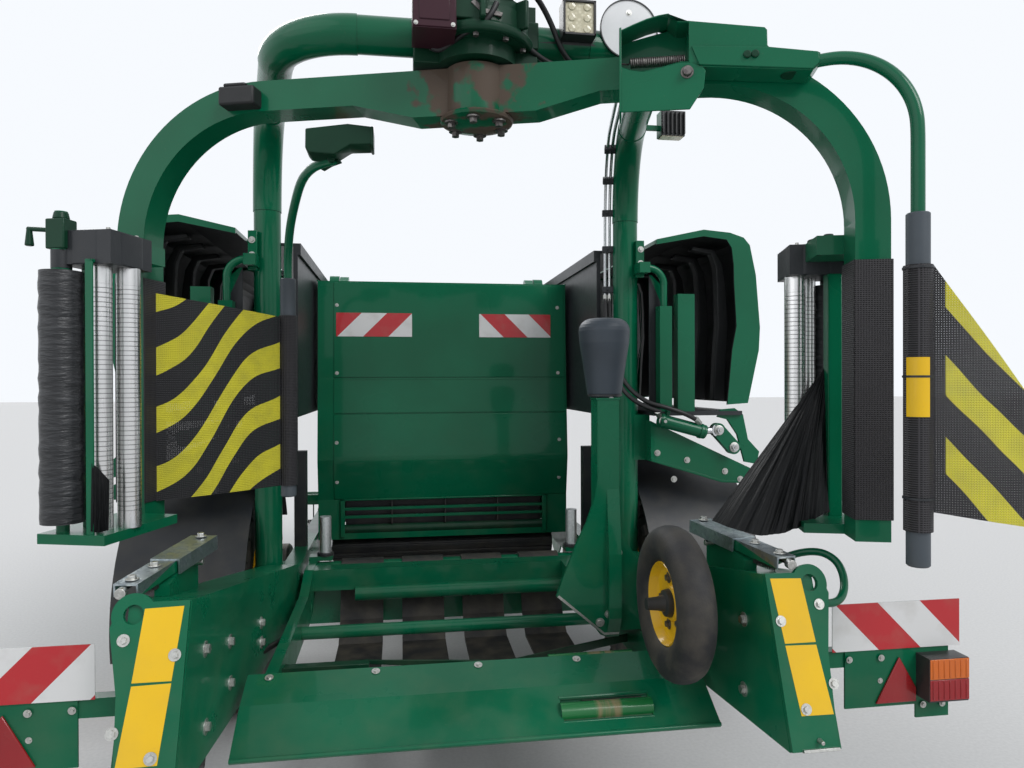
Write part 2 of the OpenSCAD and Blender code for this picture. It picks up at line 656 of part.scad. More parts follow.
module rotor_drive() color("darkgreen") {
    block([-200, rotor_y + 20, rotor_top + 60], [200, arch_y + 90, arch_z + 110]);
    translate([0, rotor_y, rotor_top + 60]) cylinder(r = 165, h = 120);
    // control box
    color("saddlebrown") block([-210, rotor_y - 200, rotor_top + 45], [-80, rotor_y - 60, arch_z + 50]);
    translate([0, rotor_y, rotor_top + 10]) cylinder(r = 130, h = 51);
    translate([0, rotor_y, rotor_top - rotor_hub_h + 20]) cylinder(r = 50, h = rotor_hub_h);
    color("dimgray") translate([0, rotor_y, arch_z + 109]) cylinder(r = 90, h = 140);
}

module rotor_side() {
    straight = leg_r - arm_bend_r;
    z_mid = rotor_top - arm_t / 2;
    block([100, -arm_w / 2, rotor_top - arm_t], [straight, arm_w / 2, rotor_top]);
    translate([straight, 0, z_mid - arm_bend_r]) rotate([90, 0, 0]) rotate_extrude(angle = 90, $fn = 96)
        translate([arm_bend_r - arm_t / 2, -arm_w / 2]) square([arm_t, arm_w]);
    block([leg_r - arm_t / 2, -arm_w / 2, leg_foot], [leg_r + arm_t / 2, arm_w / 2, z_mid - arm_bend_r]);
}
module rotor_place() translate([0, rotor_y, 0]) rotate([0, 0, rotor_turn]) children();

module rotor_beam() color("darkgreen") rotor_place() difference() {
    union() {
        for (t = [0, 180]) rotate([0, 0, t]) rotor_side();
        slab_y(arm_w / 2, -arm_w / 2) polygon([[-400, rotor_top], [400, rotor_top], [400, rotor_top - arm_t],
            [200, rotor_top - rotor_hub_h], [-200, rotor_top - rotor_hub_h], [-400, rotor_top - arm_t]]);
        translate([0, 0, rotor_top - rotor_hub_h]) cylinder(r = 100, h = rotor_hub_h);
    }
    translate([0, 0, rotor_top - rotor_hub_h - 1]) cylinder(r = 50 + pin_play, h = rotor_hub_h + 2);
}

roll_x = leg_r - 9;
roll_y = 378;
ROLLERS = [[leg_r - 148, 268], [leg_r - 100, 333]];
// One film unit, drawn for the right leg in the rotor's own frame.
module film_unit() {
    top = film_z + film_w + 20;
    color("darkgreen") {
        // foot, upper bracket and stanchion
        block([leg_r - 170, arm_w / 2, leg_foot], [leg_r + 50, 410, leg_foot + 30]);
        block([leg_r - 130, arm_w / 2, top + 40], [leg_r + 30, 200, top + 100]);
        block([leg_r - 34, 265, leg_foot + 29], [leg_r - 10, 297, top + 1]);
    }
    color([0.1, 0.1, 0.11]) {
        block([leg_r - 180, 199, top], [leg_r - 5, 390, top + unit_head_h]);
        translate([roll_x, roll_y, film_z + film_w + 5]) cylinder(r = 28, h = 60);
    }
    color("silver") for (p = ROLLERS)
        translate([p[0], p[1], leg_foot + 29]) cylinder(r = stretch_r, h = top - leg_foot - 28);
    color("darkgreen") translate([roll_x, roll_y, leg_foot + 29]) cylinder(r = 18, h = top - leg_foot + 130);
}
module film_roll() color("black") translate([roll_x, roll_y, film_z]) difference() {
    cylinder(r = film_roll_r, h = film_w);
    translate([0, 0, -1]) cylinder(r = 18 + FACE_GAP, h = film_w + 2);
}

guard_z = 1190;
guard_top = 2130;
guard_tube_r = 30;
guard_rod_r = 18;
guard_reach = 322;
guard_bend = 240;
rod_z = 2562;
// Pivot of a safety arm, for the right leg in the rotor's own frame, and the swing of each arm about it.
guard_pivot = [leg_r - 242, -115];
swing_left = -109;
swing_right = -24.8;
function guard_at(swing) = [guard_pivot[0] + guard_reach * cos(swing), guard_pivot[1] + guard_reach * sin(swing)];
module safety_arm(swing) {
    tube = guard_at(swing);
    color("dimgray") translate([tube[0], tube[1], guard_z]) cylinder(r = guard_tube_r, h = guard_top - guard_z);
    color("darkgreen") {
        // channel on the rotor's arm, open to the rear
        difference() {
            block([leg_r - 720, -158, rod_z + 28], [leg_r - 200, -arm_w / 2, rod_z + 146]);
            block([leg_r - 712, -159, rod_z + 36], [leg_r - 199, -arm_w / 2 - 8, rod_z + 138]);
        }
        translate([guard_pivot[0], guard_pivot[1], rod_z - 24]) cylinder(r = 32, h = 56);
        // bent rod down to the tube
        translate([guard_pivot[0], guard_pivot[1], rod_z]) rotate([0, 0, swing]) {
            bar_x(guard_rod_r, 0, guard_reach - guard_bend + 6, 0, 0);
            translate([guard_reach - guard_bend, 0, -guard_bend]) rotate([90, 0, 0])
                rotate_extrude(angle = 90) translate([guard_bend, 0]) circle(r = guard_rod_r + 1);
        }
        translate([tube[0], tube[1], guard_top - 1]) cylinder(r = guard_rod_r, h = rod_z - guard_bend - guard_top + 7);
    }
    // spring in the channel
    color("silver") bar_x(14, leg_r - 713, guard_pivot[0] - 30, guard_pivot[1], rod_z + 70);
    color("silver") translate([guard_pivot[0] - 40, guard_pivot[1], rod_z + 27]) cylinder(r = 12, h = 60);
}
fabric_t = 6;
sleeve_low = 1290;
sleeve_top = 1990;
// Sleeve of mesh round a leg, drawn for the right leg in the rotor's own frame.
module leg_sleeve() difference() {
    gap = FACE_GAP;
    translate([leg_r, 0, leg_foot + 60]) linear_extrude(height = 780) difference() {
        square([arm_t + 2 * (gap + fabric_t), arm_w + 2 * (gap + fabric_t)], center = true);
        square([arm_t + 2 * gap, arm_w + 2 * gap], center = true);
    }
    // left open where the film unit's brackets leave the leg
    block([leg_r - arm_t, 10, leg_foot], [leg_r + arm_t, 100, 2200]);
}
// Sleeve of mesh round a safety tube.
module tube_sleeve(swing) translate([guard_at(swing)[0], guard_at(swing)[1], sleeve_low]) difference() {
    cylinder(r = guard_tube_r + FACE_GAP + fabric_t, h = sleeve_top - sleeve_low);
    translate([0, 0, -1]) cylinder(r = guard_tube_r + FACE_GAP, h = sleeve_top - sleeve_low + 2);
}
module curtain_left() color([0.15, 0.15, 0.12]) rotor_place() rotate([0, 0, 180]) {
    a = [leg_r - arm_t / 2 - 3, 0];
    b = guard_at(swing_left);
    d = b - a;
    leg_sleeve();
    tube_sleeve(swing_left);
    translate([a[0], a[1], sleeve_low]) rotate([0, 0, atan2(d[1], d[0])])
        translate([0, -fabric_t / 2, 0]) cube([norm(d) - guard_tube_r - FACE_GAP - 2, fabric_t, sleeve_top - sleeve_low - 30]);
}
module curtain_right() color([0.15, 0.15, 0.12]) rotor_place() {
    leg_sleeve();
    tube_sleeve(swing_right);
}
// Slack mesh that stands out beside the right tube.
module slack_net_right() color([0.3, 0.3, 0.1]) rotor_place() translate(guard_at(swing_right)) rotate([0, 0, -3])
    slab_y(fabric_t / 2, -fabric_t / 2) polygon([[slack_net_in, sleeve_low + 5], [272, sleeve_low - 30],
        [272, 1600], [slack_net_in, sleeve_top - 30]]);
slack_net_in = guard_tube_r + FACE_GAP + fabric_t + FACE_GAP;

beam_rear = -3506;
beam_top_rear = -3366;
beam_top_z = 1094;
beam_foot_z = 650;
plate_tilt = atan((beam_top_rear - beam_rear) / (beam_top_z - beam_foot_z));
// Height of a side beam's top face at y.
function beam_top(y) = rail_top + 20 + (beam_top_z - rail_top - 20) * (rail_rear - y) / (rail_rear - beam_top_rear);
module side_beam(s) side(s) color("darkgreen") {
    intersection() {
        slab_x(beam_in - 10, beam_in + beam_w + beam_splay + 10) polygon([[rail_rear, rail_low - 60],
            [rail_rear, beam_top(rail_rear)], [beam_top_rear, beam_top_z], [beam_rear, beam_foot_z]]);
        translate([0, 0, rail_low - 100]) linear_extrude(height = 600) polygon([[beam_in, rail_rear],
            [beam_in + beam_w, rail_rear], [beam_in + beam_w + beam_splay, beam_rear], [beam_in + beam_splay, beam_rear]]);
    }
    // end plate with its eye
    translate([0, beam_top_rear, beam_top_z]) rotate([-plate_tilt, 0, 0]) slab_y(1, -14) difference() {
        union() {
            polygon([[776, -1], [940, -1], [961, -60], [930, -220], [915, -464], [782, -464]]);
            translate([908, -30]) circle(r = 52);
        }
        translate([908, -30]) circle(r = 24);
    }
    // pin of the table
    bar_x(table_pin_r, table_half - 38, beam_in + 10, table_pivot_y, table_pivot_z);
}

// Ends of a cutter's top line on the right side, and how far both cutters sit to the left of their beam's middle.
cutter_front = [818, -2920, 1168];
cutter_rear = [899, -3350, 1140];
cutter_shift = 41;
channel_w = 84;
channel_h = 42;
channel_t = 5;
// A channel open below, from u0 to u1 along a cutter, its top at z.
module channel(u0, u1, w, h, z) difference() {
    translate([u0, -w / 2, z - h]) cube([u1 - u0, w, h]);
    translate([u0 - 1, -w / 2 + channel_t, z - h - 1]) cube([u1 - u0 + 2, w - 2 * channel_t, h - channel_t + 1]);
}
module film_cutter(s) translate([-cutter_shift, 0, 0]) side(s) {
    d = cutter_rear - cutter_front;
    l = norm(d);
    translate(cutter_front) rotate([0, 0, atan2(d[1], d[0])]) rotate([0, -asin(d[2] / l), 0]) {
        color("silver") channel(0, l * 0.55, channel_w, channel_h, 0);
        color("silver") channel(l * 0.5, l, channel_w - 20, channel_h - 8, -3);
        color("dimgray") translate([l * 0.55, -20, -56]) cube([l * 0.2, 40, 30]);
    }
    color("darkgreen") slab_x(828, 868) polygon([[-2950, beam_top(-2950) + FACE_GAP], [-2950, 1128], [-3120, 1118],
        [-3230, 1100], [-3230, beam_top(-3230) + FACE_GAP]]);
}

board_in = 1032;
board_out = 1455;
board_y = -3300;
module marking_board(s) side(s) {
    color("white") block([board_in, board_y - 4, 832], [board_out, board_y, 973]);
    color("darkgreen") {
        block([board_in + 42, board_y - 1, 656], [1310, board_y + 5, 900]);
        block([1309, board_y - 1, 614], [1420, board_y + 5, 834]);
        block([922, board_y + 4, 780], [1232, board_y + 44, 830]);
    }
    color("orangered") block([1310, board_y - 60, 684], [1440, board_y, 814]);
}

front_roller_y = -1670;
front_roller_z = 715;
rear_roller_y = -2940;
rear_roller_z = 620;
bar_front = -1762;
bar_depth = 100;
bar_low = 682;
module table_frame() color("darkgreen") {
    // side members, bored for the pins of the side beams
    for (s = [-1, 1]) side(s) difference() {
        slab_x(table_half - 40, table_half) polygon([[-1600, 655], [-1600, 780], [-1860, 780], [-2040, 710],
            [-3020, 690], [-3020, 560], [-2040, 575], [-1880, 590], [-1780, 655]]);
        bar_x(table_pin_r + pin_play, table_half - 60, table_half + 20, table_pivot_y, table_pivot_z);
    }
    for (r = [[front_roller_y, front_roller_z, table_roller_r], [rear_roller_y, rear_roller_z, table_roller_r], [-2250, 620, 26]])
        bar_x(r[2], -table_half + 39, table_half - 39, r[0], r[1]);
    // crossbar with a tube along its lower rear edge
    block([-table_half + 39, bar_front - bar_depth, bar_low], [table_half - 39, bar_front, 778]);
    bar_x(33, -460, post_x - 8 - FACE_GAP, bar_front - bar_depth, bar_low - 18);
    // chrome guides beside the tailgate
    for (s = [-1, 1]) side(s) {
        block([580, -1690, 779], [table_half, -1622, 800]);
        translate([615, -1656, 799]) cylinder(r = 28, h = 190);
    }
    // bent rear plate with a roller in its slot
    difference() {
        slab_x(-728, 728) polygon([[-2925, 724], [-3050, 679], [-3196, 586], [-3190, 576], [-3046, 668], [-2925, 712]]);
        block([240, -3155, 560], [524, -3085, 700]);
    }
    bar_x(28, 236, 528, -3120, 624);
}
// Outline in Y and Z of one slack belt that hangs between the rollers.
module belt_loop() {
    inner = table_roller_r + FACE_GAP;
    for (r = [[front_roller_y, front_roller_z], [rear_roller_y, rear_roller_z]]) translate(r) difference() {
        circle(r = inner + belt_t);
        circle(r = inner);
    }
    polygon([[-1725.4, 725], [-1725.4, 700], [-1788, 515], [-1895, 430], [-2650, 418], [-2852, 478],
             [-2884, 600], [-2884, 630], [-2873.4, 630], [-2873, 602], [-2842, 487], [-2648, 430], [-1899, 442],
             [-1797, 522], [-1736.4, 700], [-1736, 725]]);
}
module table_belts() color([0.07, 0.07, 0.07])
    for (i = [-1.5, -0.5, 0.5, 1.5]) slab_x(i * belt_pitch - belt_w / 2, i * belt_pitch + belt_w / 2) belt_loop();

arm_y = bar_front - bar_depth - FACE_GAP;
module tipper_post() color("darkgreen") {
    // arm that runs back from the crossbar to the post
    slab_x(post_x - 8, post_x + 40) polygon([[arm_y, 665], [arm_y, 778], [-2180, 762], [-2420, 860], [-2530, 1120],
        [-2566, 1330], [-2566, 1400], [-2640, 1400], [-2690, 1000], [-2690, 760], [-2650, 680], [-2560, 658]]);
    // post, its flared rear plate and the pin of its roller
    slab_y(post_y + 34, post_y - 59) polygon([[post_left, 1100], [post_left, post_top], [post_right, post_top], [post_right, 760],
        [post_left, 760]]);
    slab_y(post_y - 42, post_y - 60) polygon([[post_left, post_top], [post_left + 4, 1300], [post_left - 12, 1200],
        [post_left - 42, 1115], [post_left - 79, 1042], [post_left - 133, 912], [post_left - 158, 843], [505, 690],
        [post_right, 690], [post_right, 706], [654, 706], [646, 972], [post_right, 1065], [post_right, post_top]]);
    translate([post_x, post_y, post_top - EPS]) cylinder(r = 20, h = cone_h - 20);
    // arm and stub of the wheel, on its outer side
    slab_x(post_x + 112, post_x + 130) polygon([[post_y - 43, 780], [post_y - 43, 960], [tip_wheel_y + 30, tip_wheel_z + 50],
        [tip_wheel_y - 40, tip_wheel_z + 40], [tip_wheel_y - 40, tip_wheel_z - 40], [tip_wheel_y + 20, tip_wheel_z - 50]]);
    bar_x(20, post_x + 6, post_x + 113, tip_wheel_y, tip_wheel_z);
}
post_left = post_x - 44;
post_right = post_x + 40;
crown_r = 48;
module tipper_roller() color([0.3, 0.3, 0.3]) translate([post_x, post_y, post_top + 5])
    rotate_extrude() polygon(concat([[20 + pin_play, 0], [60, 0], [66, 14], [cone_r - 14, 140], [cone_r - 3, 205]],
        [for (a = [0 : 15 : 90]) [cone_r - crown_r + crown_r * cos(a), cone_h - crown_r + crown_r * sin(a)]],
        [[0, cone_h], [0, cone_h - 18], [20 + pin_play, cone_h - 18]]));
module tipper_wheel() color("black") translate([post_x + 4, tip_wheel_y, tip_wheel_z]) rotate([0, 90, 0])
    rotate_extrude($fn = 96) polygon([[20 + pin_play, 0], [20 + pin_play, 96], [45, 96], [55, 65], [118, 55],
        [125, 92], [190, 102], [222, 84], [tip_wheel_r, 62], [tip_wheel_r, 38], [222, 16], [190, 0], [125, 10], [118, 45],
        [55, 40], [45, 0]]);

chassis();
drawbar();
parking_jack();
axle();
tyre(-1);  // tyre_left
tyre(1);  // tyre_right
rim(-1);  // rim_left
rim(1);  // rim_right
mudguard(-1);  // mudguard_left
mudguard(1);  // mudguard_right
chamber();
front_hood();
drive_gearbox();
tailgate();
pickup_frame();
pickup_reel();
gauge_wheel(-1);  // gauge_wheel_left
gauge_wheel(1);  // gauge_wheel_right
film_store(-1);  // film_store_left
film_store(1);  // film_store_right
gull_cover(-1, store_front, store_rear, STORE_KNUCKLES);  // store_cover_left
gull_cover(1, store_front, store_rear, STORE_KNUCKLES);  // store_cover_right
gull_cover(-1, door_front, store_front + 20, DOOR_KNUCKLES);  // side_door_left
gull_cover(1, door_front, store_front + 20, DOOR_KNUCKLES);  // side_door_right
wrapper_arch();
rotor_drive();
rotor_beam();
rotor_place() rotate([0, 0, 180]) film_unit();  // film_unit_left
rotor_place() film_unit();  // film_unit_right
rotor_place() rotate([0, 0, 180]) film_roll();  // film_roll_left
rotor_place() film_roll();  // film_roll_right
rotor_place() rotate([0, 0, 180]) safety_arm(swing_left);  // safety_arm_left
rotor_place() safety_arm(swing_right);  // safety_arm_right
curtain_left();
curtain_right();
slack_net_right();
side_beam(-1);  // side_beam_left
side_beam(1);  // side_beam_right
film_cutter(-1);  // film_cutter_left
film_cutter(1);  // film_cutter_right
marking_board(-1);  // marking_board_left
marking_board(1);  // marking_board_right
table_frame();
table_belts();
tipper_post();
tipper_roller();
tipper_wheel();
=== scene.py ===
# %% [markdown]
# # Dressing a round baler with its bale wrapper
# The construction of the machine arrives as fixed steel parts. This notebook gives every part its paint,
# rubber or zinc, and adds what a maker fits last: tread, panels, rollers, nets, film, lamps, hoses and bolts.
# Each step first says what the piece is on the machine and why it is made the way it is.

# %% Load the fixed parts
import math

import bmesh
import bpy
from mathutils import Matrix, Vector


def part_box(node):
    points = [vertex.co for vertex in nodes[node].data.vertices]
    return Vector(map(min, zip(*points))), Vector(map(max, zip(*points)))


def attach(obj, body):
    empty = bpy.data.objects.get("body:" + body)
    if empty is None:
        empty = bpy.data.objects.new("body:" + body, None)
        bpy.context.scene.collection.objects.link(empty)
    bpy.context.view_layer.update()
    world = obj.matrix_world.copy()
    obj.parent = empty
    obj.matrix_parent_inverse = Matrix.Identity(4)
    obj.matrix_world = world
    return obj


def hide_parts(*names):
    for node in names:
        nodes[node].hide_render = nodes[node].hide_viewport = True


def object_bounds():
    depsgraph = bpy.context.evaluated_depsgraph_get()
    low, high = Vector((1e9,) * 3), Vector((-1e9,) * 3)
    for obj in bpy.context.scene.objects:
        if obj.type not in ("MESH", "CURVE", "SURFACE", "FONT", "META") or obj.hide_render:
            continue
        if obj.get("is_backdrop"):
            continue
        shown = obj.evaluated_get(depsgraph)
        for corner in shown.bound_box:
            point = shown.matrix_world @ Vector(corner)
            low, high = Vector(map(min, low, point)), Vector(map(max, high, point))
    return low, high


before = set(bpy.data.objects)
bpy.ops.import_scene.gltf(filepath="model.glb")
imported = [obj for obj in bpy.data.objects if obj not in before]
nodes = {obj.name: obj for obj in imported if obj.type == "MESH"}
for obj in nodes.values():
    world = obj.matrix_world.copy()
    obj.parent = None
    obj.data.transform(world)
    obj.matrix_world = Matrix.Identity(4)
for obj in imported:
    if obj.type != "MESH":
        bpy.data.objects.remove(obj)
cad_low, cad_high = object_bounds()
print("fixed parts:", len(nodes), "size in metres:", [round(v, 2) for v in cad_high - cad_low])

# %% [markdown]
# ## The camera
# The picture was taken by someone standing behind the machine, a little left of its middle, with a wide lens
# at eye height. The camera is turned by its heading first, then tipped, then rolled.

# %% Place the camera
EYE = Vector((-0.246, -5.330, 1.650))
HEADING, TIP, ROLL = math.radians(8.6), math.radians(-0.26), math.radians(0.17)
camera = bpy.data.objects.new("camera", bpy.data.cameras.new("camera"))
bpy.context.scene.collection.objects.link(camera)
camera.data.lens = 25.73
camera.matrix_world = (
    Matrix.Translation(EYE)
    @ Matrix.Rotation(-HEADING, 4, "Z")
    @ Matrix.Rotation(math.pi / 2 + TIP, 4, "X")
    @ Matrix.Rotation(-ROLL, 4, "Z")
)
bpy.context.scene.camera = camera
print("camera at", tuple(round(v, 2) for v in EYE))

# %% [markdown]
# ## Fields and finishes
# A finish is a small graph of nodes. Writing it as arithmetic is easier to read, so a Field wraps one socket
# and turns each Python operator into a Math node. A Finish owns the tree and ends in one shader. Numbers that
# stay the same all over a surface go straight onto the shader's own sockets.

# %% A number that varies over a surface
class Field:
    """One socket of a finish, on which arithmetic can be written."""

    def __init__(self, finish, socket):
        self.finish = finish
        self.socket = socket

    def math(self, operation, *others):
        return self.finish.add("ShaderNodeMath", dict(enumerate((self, *others))), operation=operation)

    def __add__(self, other):
        return self.math("ADD", other)

    def __sub__(self, other):
        return self.math("SUBTRACT", other)

    def __rsub__(self, other):
        return self.finish.add("ShaderNodeMath", {0: other, 1: self}, operation="SUBTRACT")

    def __mul__(self, other):
        return self.math("MULTIPLY", other)

    def __truediv__(self, other):
        return self.math("DIVIDE", other)

    def __lt__(self, other):
        return self.math("LESS_THAN", other)

    def __gt__(self, other):
        return self.math("GREATER_THAN", other)

    __radd__ = __add__
    __rmul__ = __mul__

    def fraction(self):
        return self.math("FRACT")

    def ramp(self, low, high):
        """0 below low, 1 above high and a straight slope between."""
        return self.finish.add("ShaderNodeMapRange", {0: self, 1: low, 2: high, 3: 0.0, 4: 1.0})


# %% A finish that owns its nodes
class Finish:
    """A material: nodes are added with add(), and feed() ties a field to the shader."""

    def __init__(self, name, **constants):
        self.material = bpy.data.materials.new(name)
        self.material.use_nodes = True
        self.tree = self.material.node_tree
        self.shader = self.tree.nodes["Principled BSDF"]
        for socket, value in constants.items():
            self.shader.inputs[socket.replace("_", " ")].default_value = value

    def add(self, kind, inputs=None, output=0, **settings):
        node = self.tree.nodes.new(kind)
        for key, value in settings.items():
            setattr(node, key, value)
        for key, value in (inputs or {}).items():
            if isinstance(value, Field):
                self.tree.links.new(value.socket, node.inputs[key])
            else:
                node.inputs[key].default_value = value
        return Field(self, node.outputs[output])

    def place(self):
        return self.add("ShaderNodeTexCoord", output="Object")

    def cloth(self):
        return self.add("ShaderNodeUVMap", uv_map="cloth")

    def split(self, vector):
        return [self.add("ShaderNodeSeparateXYZ", {0: vector}, output=axis) for axis in range(3)]

    def noise(self, scale, detail=2.0, stretch=(1, 1, 1)):
        place = self.add("ShaderNodeMapping", {"Vector": self.place(), "Scale": stretch})
        return self.add("ShaderNodeTexNoise", {"Vector": place, "Scale": scale, "Detail": detail})

    def mix(self, factor, first, second):
        return self.add("ShaderNodeMix", {0: factor, 6: first, 7: second}, output=2, data_type="RGBA")

    def feed(self, socket, field):
        self.tree.links.new(field.socket, self.shader.inputs[socket])

    def bump(self, height, strength, distance):
        given = {"Height": height, "Strength": strength, "Distance": distance}
        self.feed("Normal", self.add("ShaderNodeBump", given))


def colour(red, green, blue):
    return (red, green, blue, 1.0)


# %% [markdown]
# ## Paint
# The green enamel is glossy, with a clear coat, a faint orange peel, paler dust that gathers low down and
# small cloudy changes of tone. The same recipe makes the yellow of the rims and the red and amber plastics,
# so it is one function of a few colours.

# %% Enamel and plastic recipes
DUST = colour(0.20, 0.17, 0.12)
ORANGE_PEEL, FINE_DEPTH = 0.05, 0.002


def enamel(name, tone, deep, roughness=0.24, coat=0.24, dust=0.16, rust_round=None):
    """Paint of one tone that deepens in clouds and dulls where road dust lies, with worn spots round a point."""
    paint = Finish(name, Specular_IOR_Level=0.16, Coat_Roughness=0.06)
    clouds = paint.noise(2.2, 4.0)
    height = paint.split(paint.place())[2]
    lying = (1.0 - height.ramp(0.15, 1.5)) * paint.noise(9.0, 6.0).ramp(0.42, 0.72) * dust
    specks = paint.noise(140.0, 2.0).ramp(0.68, 0.76) * 0.08
    tint = paint.mix(clouds.ramp(0.3, 0.7), tone, deep)
    if rust_round:
        reach = paint.add("ShaderNodeVectorMath", {0: paint.place(), 1: rust_round}, output=1, operation="DISTANCE")
        worn = ((1.0 - reach.ramp(0.06, 0.42)) * 0.78 + paint.noise(13.0, 5.0) - 1.0).ramp(0.01, 0.09)
        tint = paint.mix(worn, tint, RUST)
        lying = lying + worn * 0.3
    paint.feed("Base Color", paint.mix(lying + specks, tint, DUST))
    paint.feed("Roughness", lying * 1.1 + clouds * 0.08 + roughness)
    paint.feed("Coat Weight", (1.0 - lying * 2.0) * coat)
    paint.bump(paint.noise(90.0, 2.0), ORANGE_PEEL, FINE_DEPTH)
    return paint.material


RUST = colour(0.030, 0.013, 0.013)
GREEN, GREEN_DEEP = colour(0.001, 0.122, 0.056), colour(0.001, 0.090, 0.040)
green_enamel = enamel("green_enamel", GREEN, GREEN_DEEP)
worn_green_enamel = enamel("worn_green_enamel", GREEN, GREEN_DEEP, rust_round=(0.0, -2.95, 2.62))
# painted shade: a darker, duller copy of the green enamel, put on parts that sit in shade
shade_darkened_green = enamel("shade_darkened_green", colour(0.004, 0.042, 0.020), colour(0.003, 0.026, 0.013), 0.42, 0.1)
yellow_enamel = enamel("yellow_enamel", colour(0.72, 0.43, 0.012), colour(0.6, 0.34, 0.01))
red_brown_box = enamel("red_brown_box", colour(0.040, 0.010, 0.018), colour(0.028, 0.008, 0.014), 0.35, 0.2, 0.1)
print("paints:", green_enamel.name, shade_darkened_green.name, yellow_enamel.name)

# %% Black plastic, steel and rubber
def moulded(name, tone, roughness, grain, depth, dust=0.25, metallic=0.0):
    """Plastic, rubber or plain steel with a fine grain and dust."""
    made = Finish(name, Metallic=metallic, Specular_IOR_Level=0.4)
    height = made.split(made.place())[2]
    lying = (1.0 - height.ramp(0.1, 1.6)) * made.noise(11.0, 6.0).ramp(0.40, 0.75) * dust
    worn = made.noise(5.0, 4.0).ramp(0.35, 0.75)
    pale = tuple(min(1.0, channel * 1.7 + 0.004) for channel in tone[:3]) + (1.0,)
    made.feed("Base Color", made.mix(lying, made.mix(worn * 0.6, tone, pale), DUST))
    made.feed("Roughness", made.noise(30.0, 3.0) * 0.12 + roughness)
    made.bump(made.noise(grain, 3.0), depth, FINE_DEPTH)
    return made.material


black_plastic = moulded("black_plastic", colour(0.012, 0.014, 0.017), 0.36, 260.0, 0.25)
black_steel = moulded("black_steel", colour(0.016, 0.017, 0.018), 0.34, 60.0, 0.08, metallic=0.0)
tyre_rubber = moulded("tyre_rubber", colour(0.010, 0.010, 0.011), 0.62, 150.0, 0.35, dust=0.55)
belt_rubber = moulded("belt_rubber", colour(0.012, 0.012, 0.012), 0.58, 180.0, 0.3, dust=0.35)
cone_rubber = moulded("cone_rubber", colour(0.030, 0.040, 0.052), 0.42, 220.0, 0.15)
pipe_plastic = moulded("pipe_plastic", colour(0.040, 0.050, 0.060), 0.45, 160.0, 0.12)
hose_rubber = moulded("hose_rubber", colour(0.008, 0.008, 0.009), 0.40, 400.0, 0.1)
print("dark finishes ready")

# %% Zinc and chrome
def bright(name, tone, deep, roughness, grain, stretch=(1, 1, 1)):
    """Bare or plated metal with crystals or fine scratches."""
    metal = Finish(name, Metallic=1.0)
    place = metal.add("ShaderNodeMapping", {"Vector": metal.place(), "Scale": stretch})
    crystals = metal.add("ShaderNodeTexVoronoi", {"Vector": place, "Scale": grain}, output=1)
    shade = metal.split(crystals)[0]
    metal.feed("Base Color", metal.mix(shade, tone, deep))
    metal.feed("Roughness", shade * 0.14 + metal.noise(12.0, 4.0) * 0.2 + roughness)
    return metal.material


zinc = bright("zinc", colour(0.50, 0.55, 0.57), colour(0.30, 0.35, 0.38), 0.24, 70.0)
chrome = bright("chrome", colour(0.62, 0.63, 0.64), colour(0.5, 0.51, 0.53), 0.08, 40.0, (1, 1, 0.05))
dull_steel = bright("dull_steel", colour(0.20, 0.19, 0.18), colour(0.11, 0.10, 0.10), 0.34, 110.0)
bolt_steel = bright("bolt_steel", colour(0.55, 0.55, 0.52), colour(0.4, 0.4, 0.38), 0.25, 160.0)
satin_steel = bright("satin_steel", colour(0.70, 0.71, 0.72), colour(0.58, 0.59, 0.60), 0.32, 90.0)


def worn_band(name, middle, half):
    """Green paint of a roller that a strip of cloth has rubbed to brown metal in its middle."""
    paint = Finish(name, Specular_IOR_Level=0.3, Coat_Weight=0.2)
    across = paint.split(paint.place())[0]
    streaks = paint.noise(60.0, 4.0, (1, 0.1, 0.1)).ramp(0.30, 0.55)
    rubbed = (1.0 - (across - middle).math("ABSOLUTE").ramp(half * 0.7, half)) * streaks
    paint.feed("Base Color", paint.mix(rubbed, colour(0.010, 0.135, 0.036), colour(0.20, 0.17, 0.085)))
    paint.feed("Roughness", rubbed * 0.25 + 0.25)
    return paint.material


print("metals ready")

# %% [markdown]
# ## Helpers for pieces
# New pieces are small bmesh models. A block, a rod, a plate pushed out of an outline and a profile spun round
# an axis cover nearly everything on a farm machine; pipes are curves with a round bevel. Every piece ends in
# the same call, which recalculates its normals, softens its edges and ties it to the body it moves with.

# %% Shapes
def add_block(mesh, low, high, turn=None):
    low, high = Vector(low), Vector(high)
    corners = bmesh.ops.create_cube(mesh, size=1.0)["verts"]
    bmesh.ops.scale(mesh, vec=high - low, verts=corners)
    bmesh.ops.translate(mesh, vec=(low + high) / 2, verts=corners)
    if turn:
        bmesh.ops.transform(mesh, matrix=turn, verts=corners)


def add_rod(mesh, start, end, radius, end_radius=None, sides=24):
    start, end = Vector(start), Vector(end)
    along = end - start
    place = Matrix.Translation((start + end) / 2) @ along.to_track_quat("Z", "Y").to_matrix().to_4x4()
    bmesh.ops.create_cone(
        mesh, cap_ends=True, segments=sides, radius1=radius,
        radius2=radius if end_radius is None else end_radius, depth=along.length, matrix=place,
    )


def add_plate(mesh, outline, push):
    """A flat outline in space, given its thickness along one vector."""
    face = mesh.faces.new([mesh.verts.new(corner) for corner in outline])
    grown = bmesh.ops.extrude_face_region(mesh, geom=[face], use_keep_orig=True)["geom"]
    moved = [item for item in grown if isinstance(item, bmesh.types.BMVert)]
    bmesh.ops.translate(mesh, vec=push, verts=moved)
    return list(face.verts) + moved


ACROSS, REARWARD, UP, DOWN = (1, 0, 0), (0, -1, 0), (0, 0, 1), (0, 0, -1)


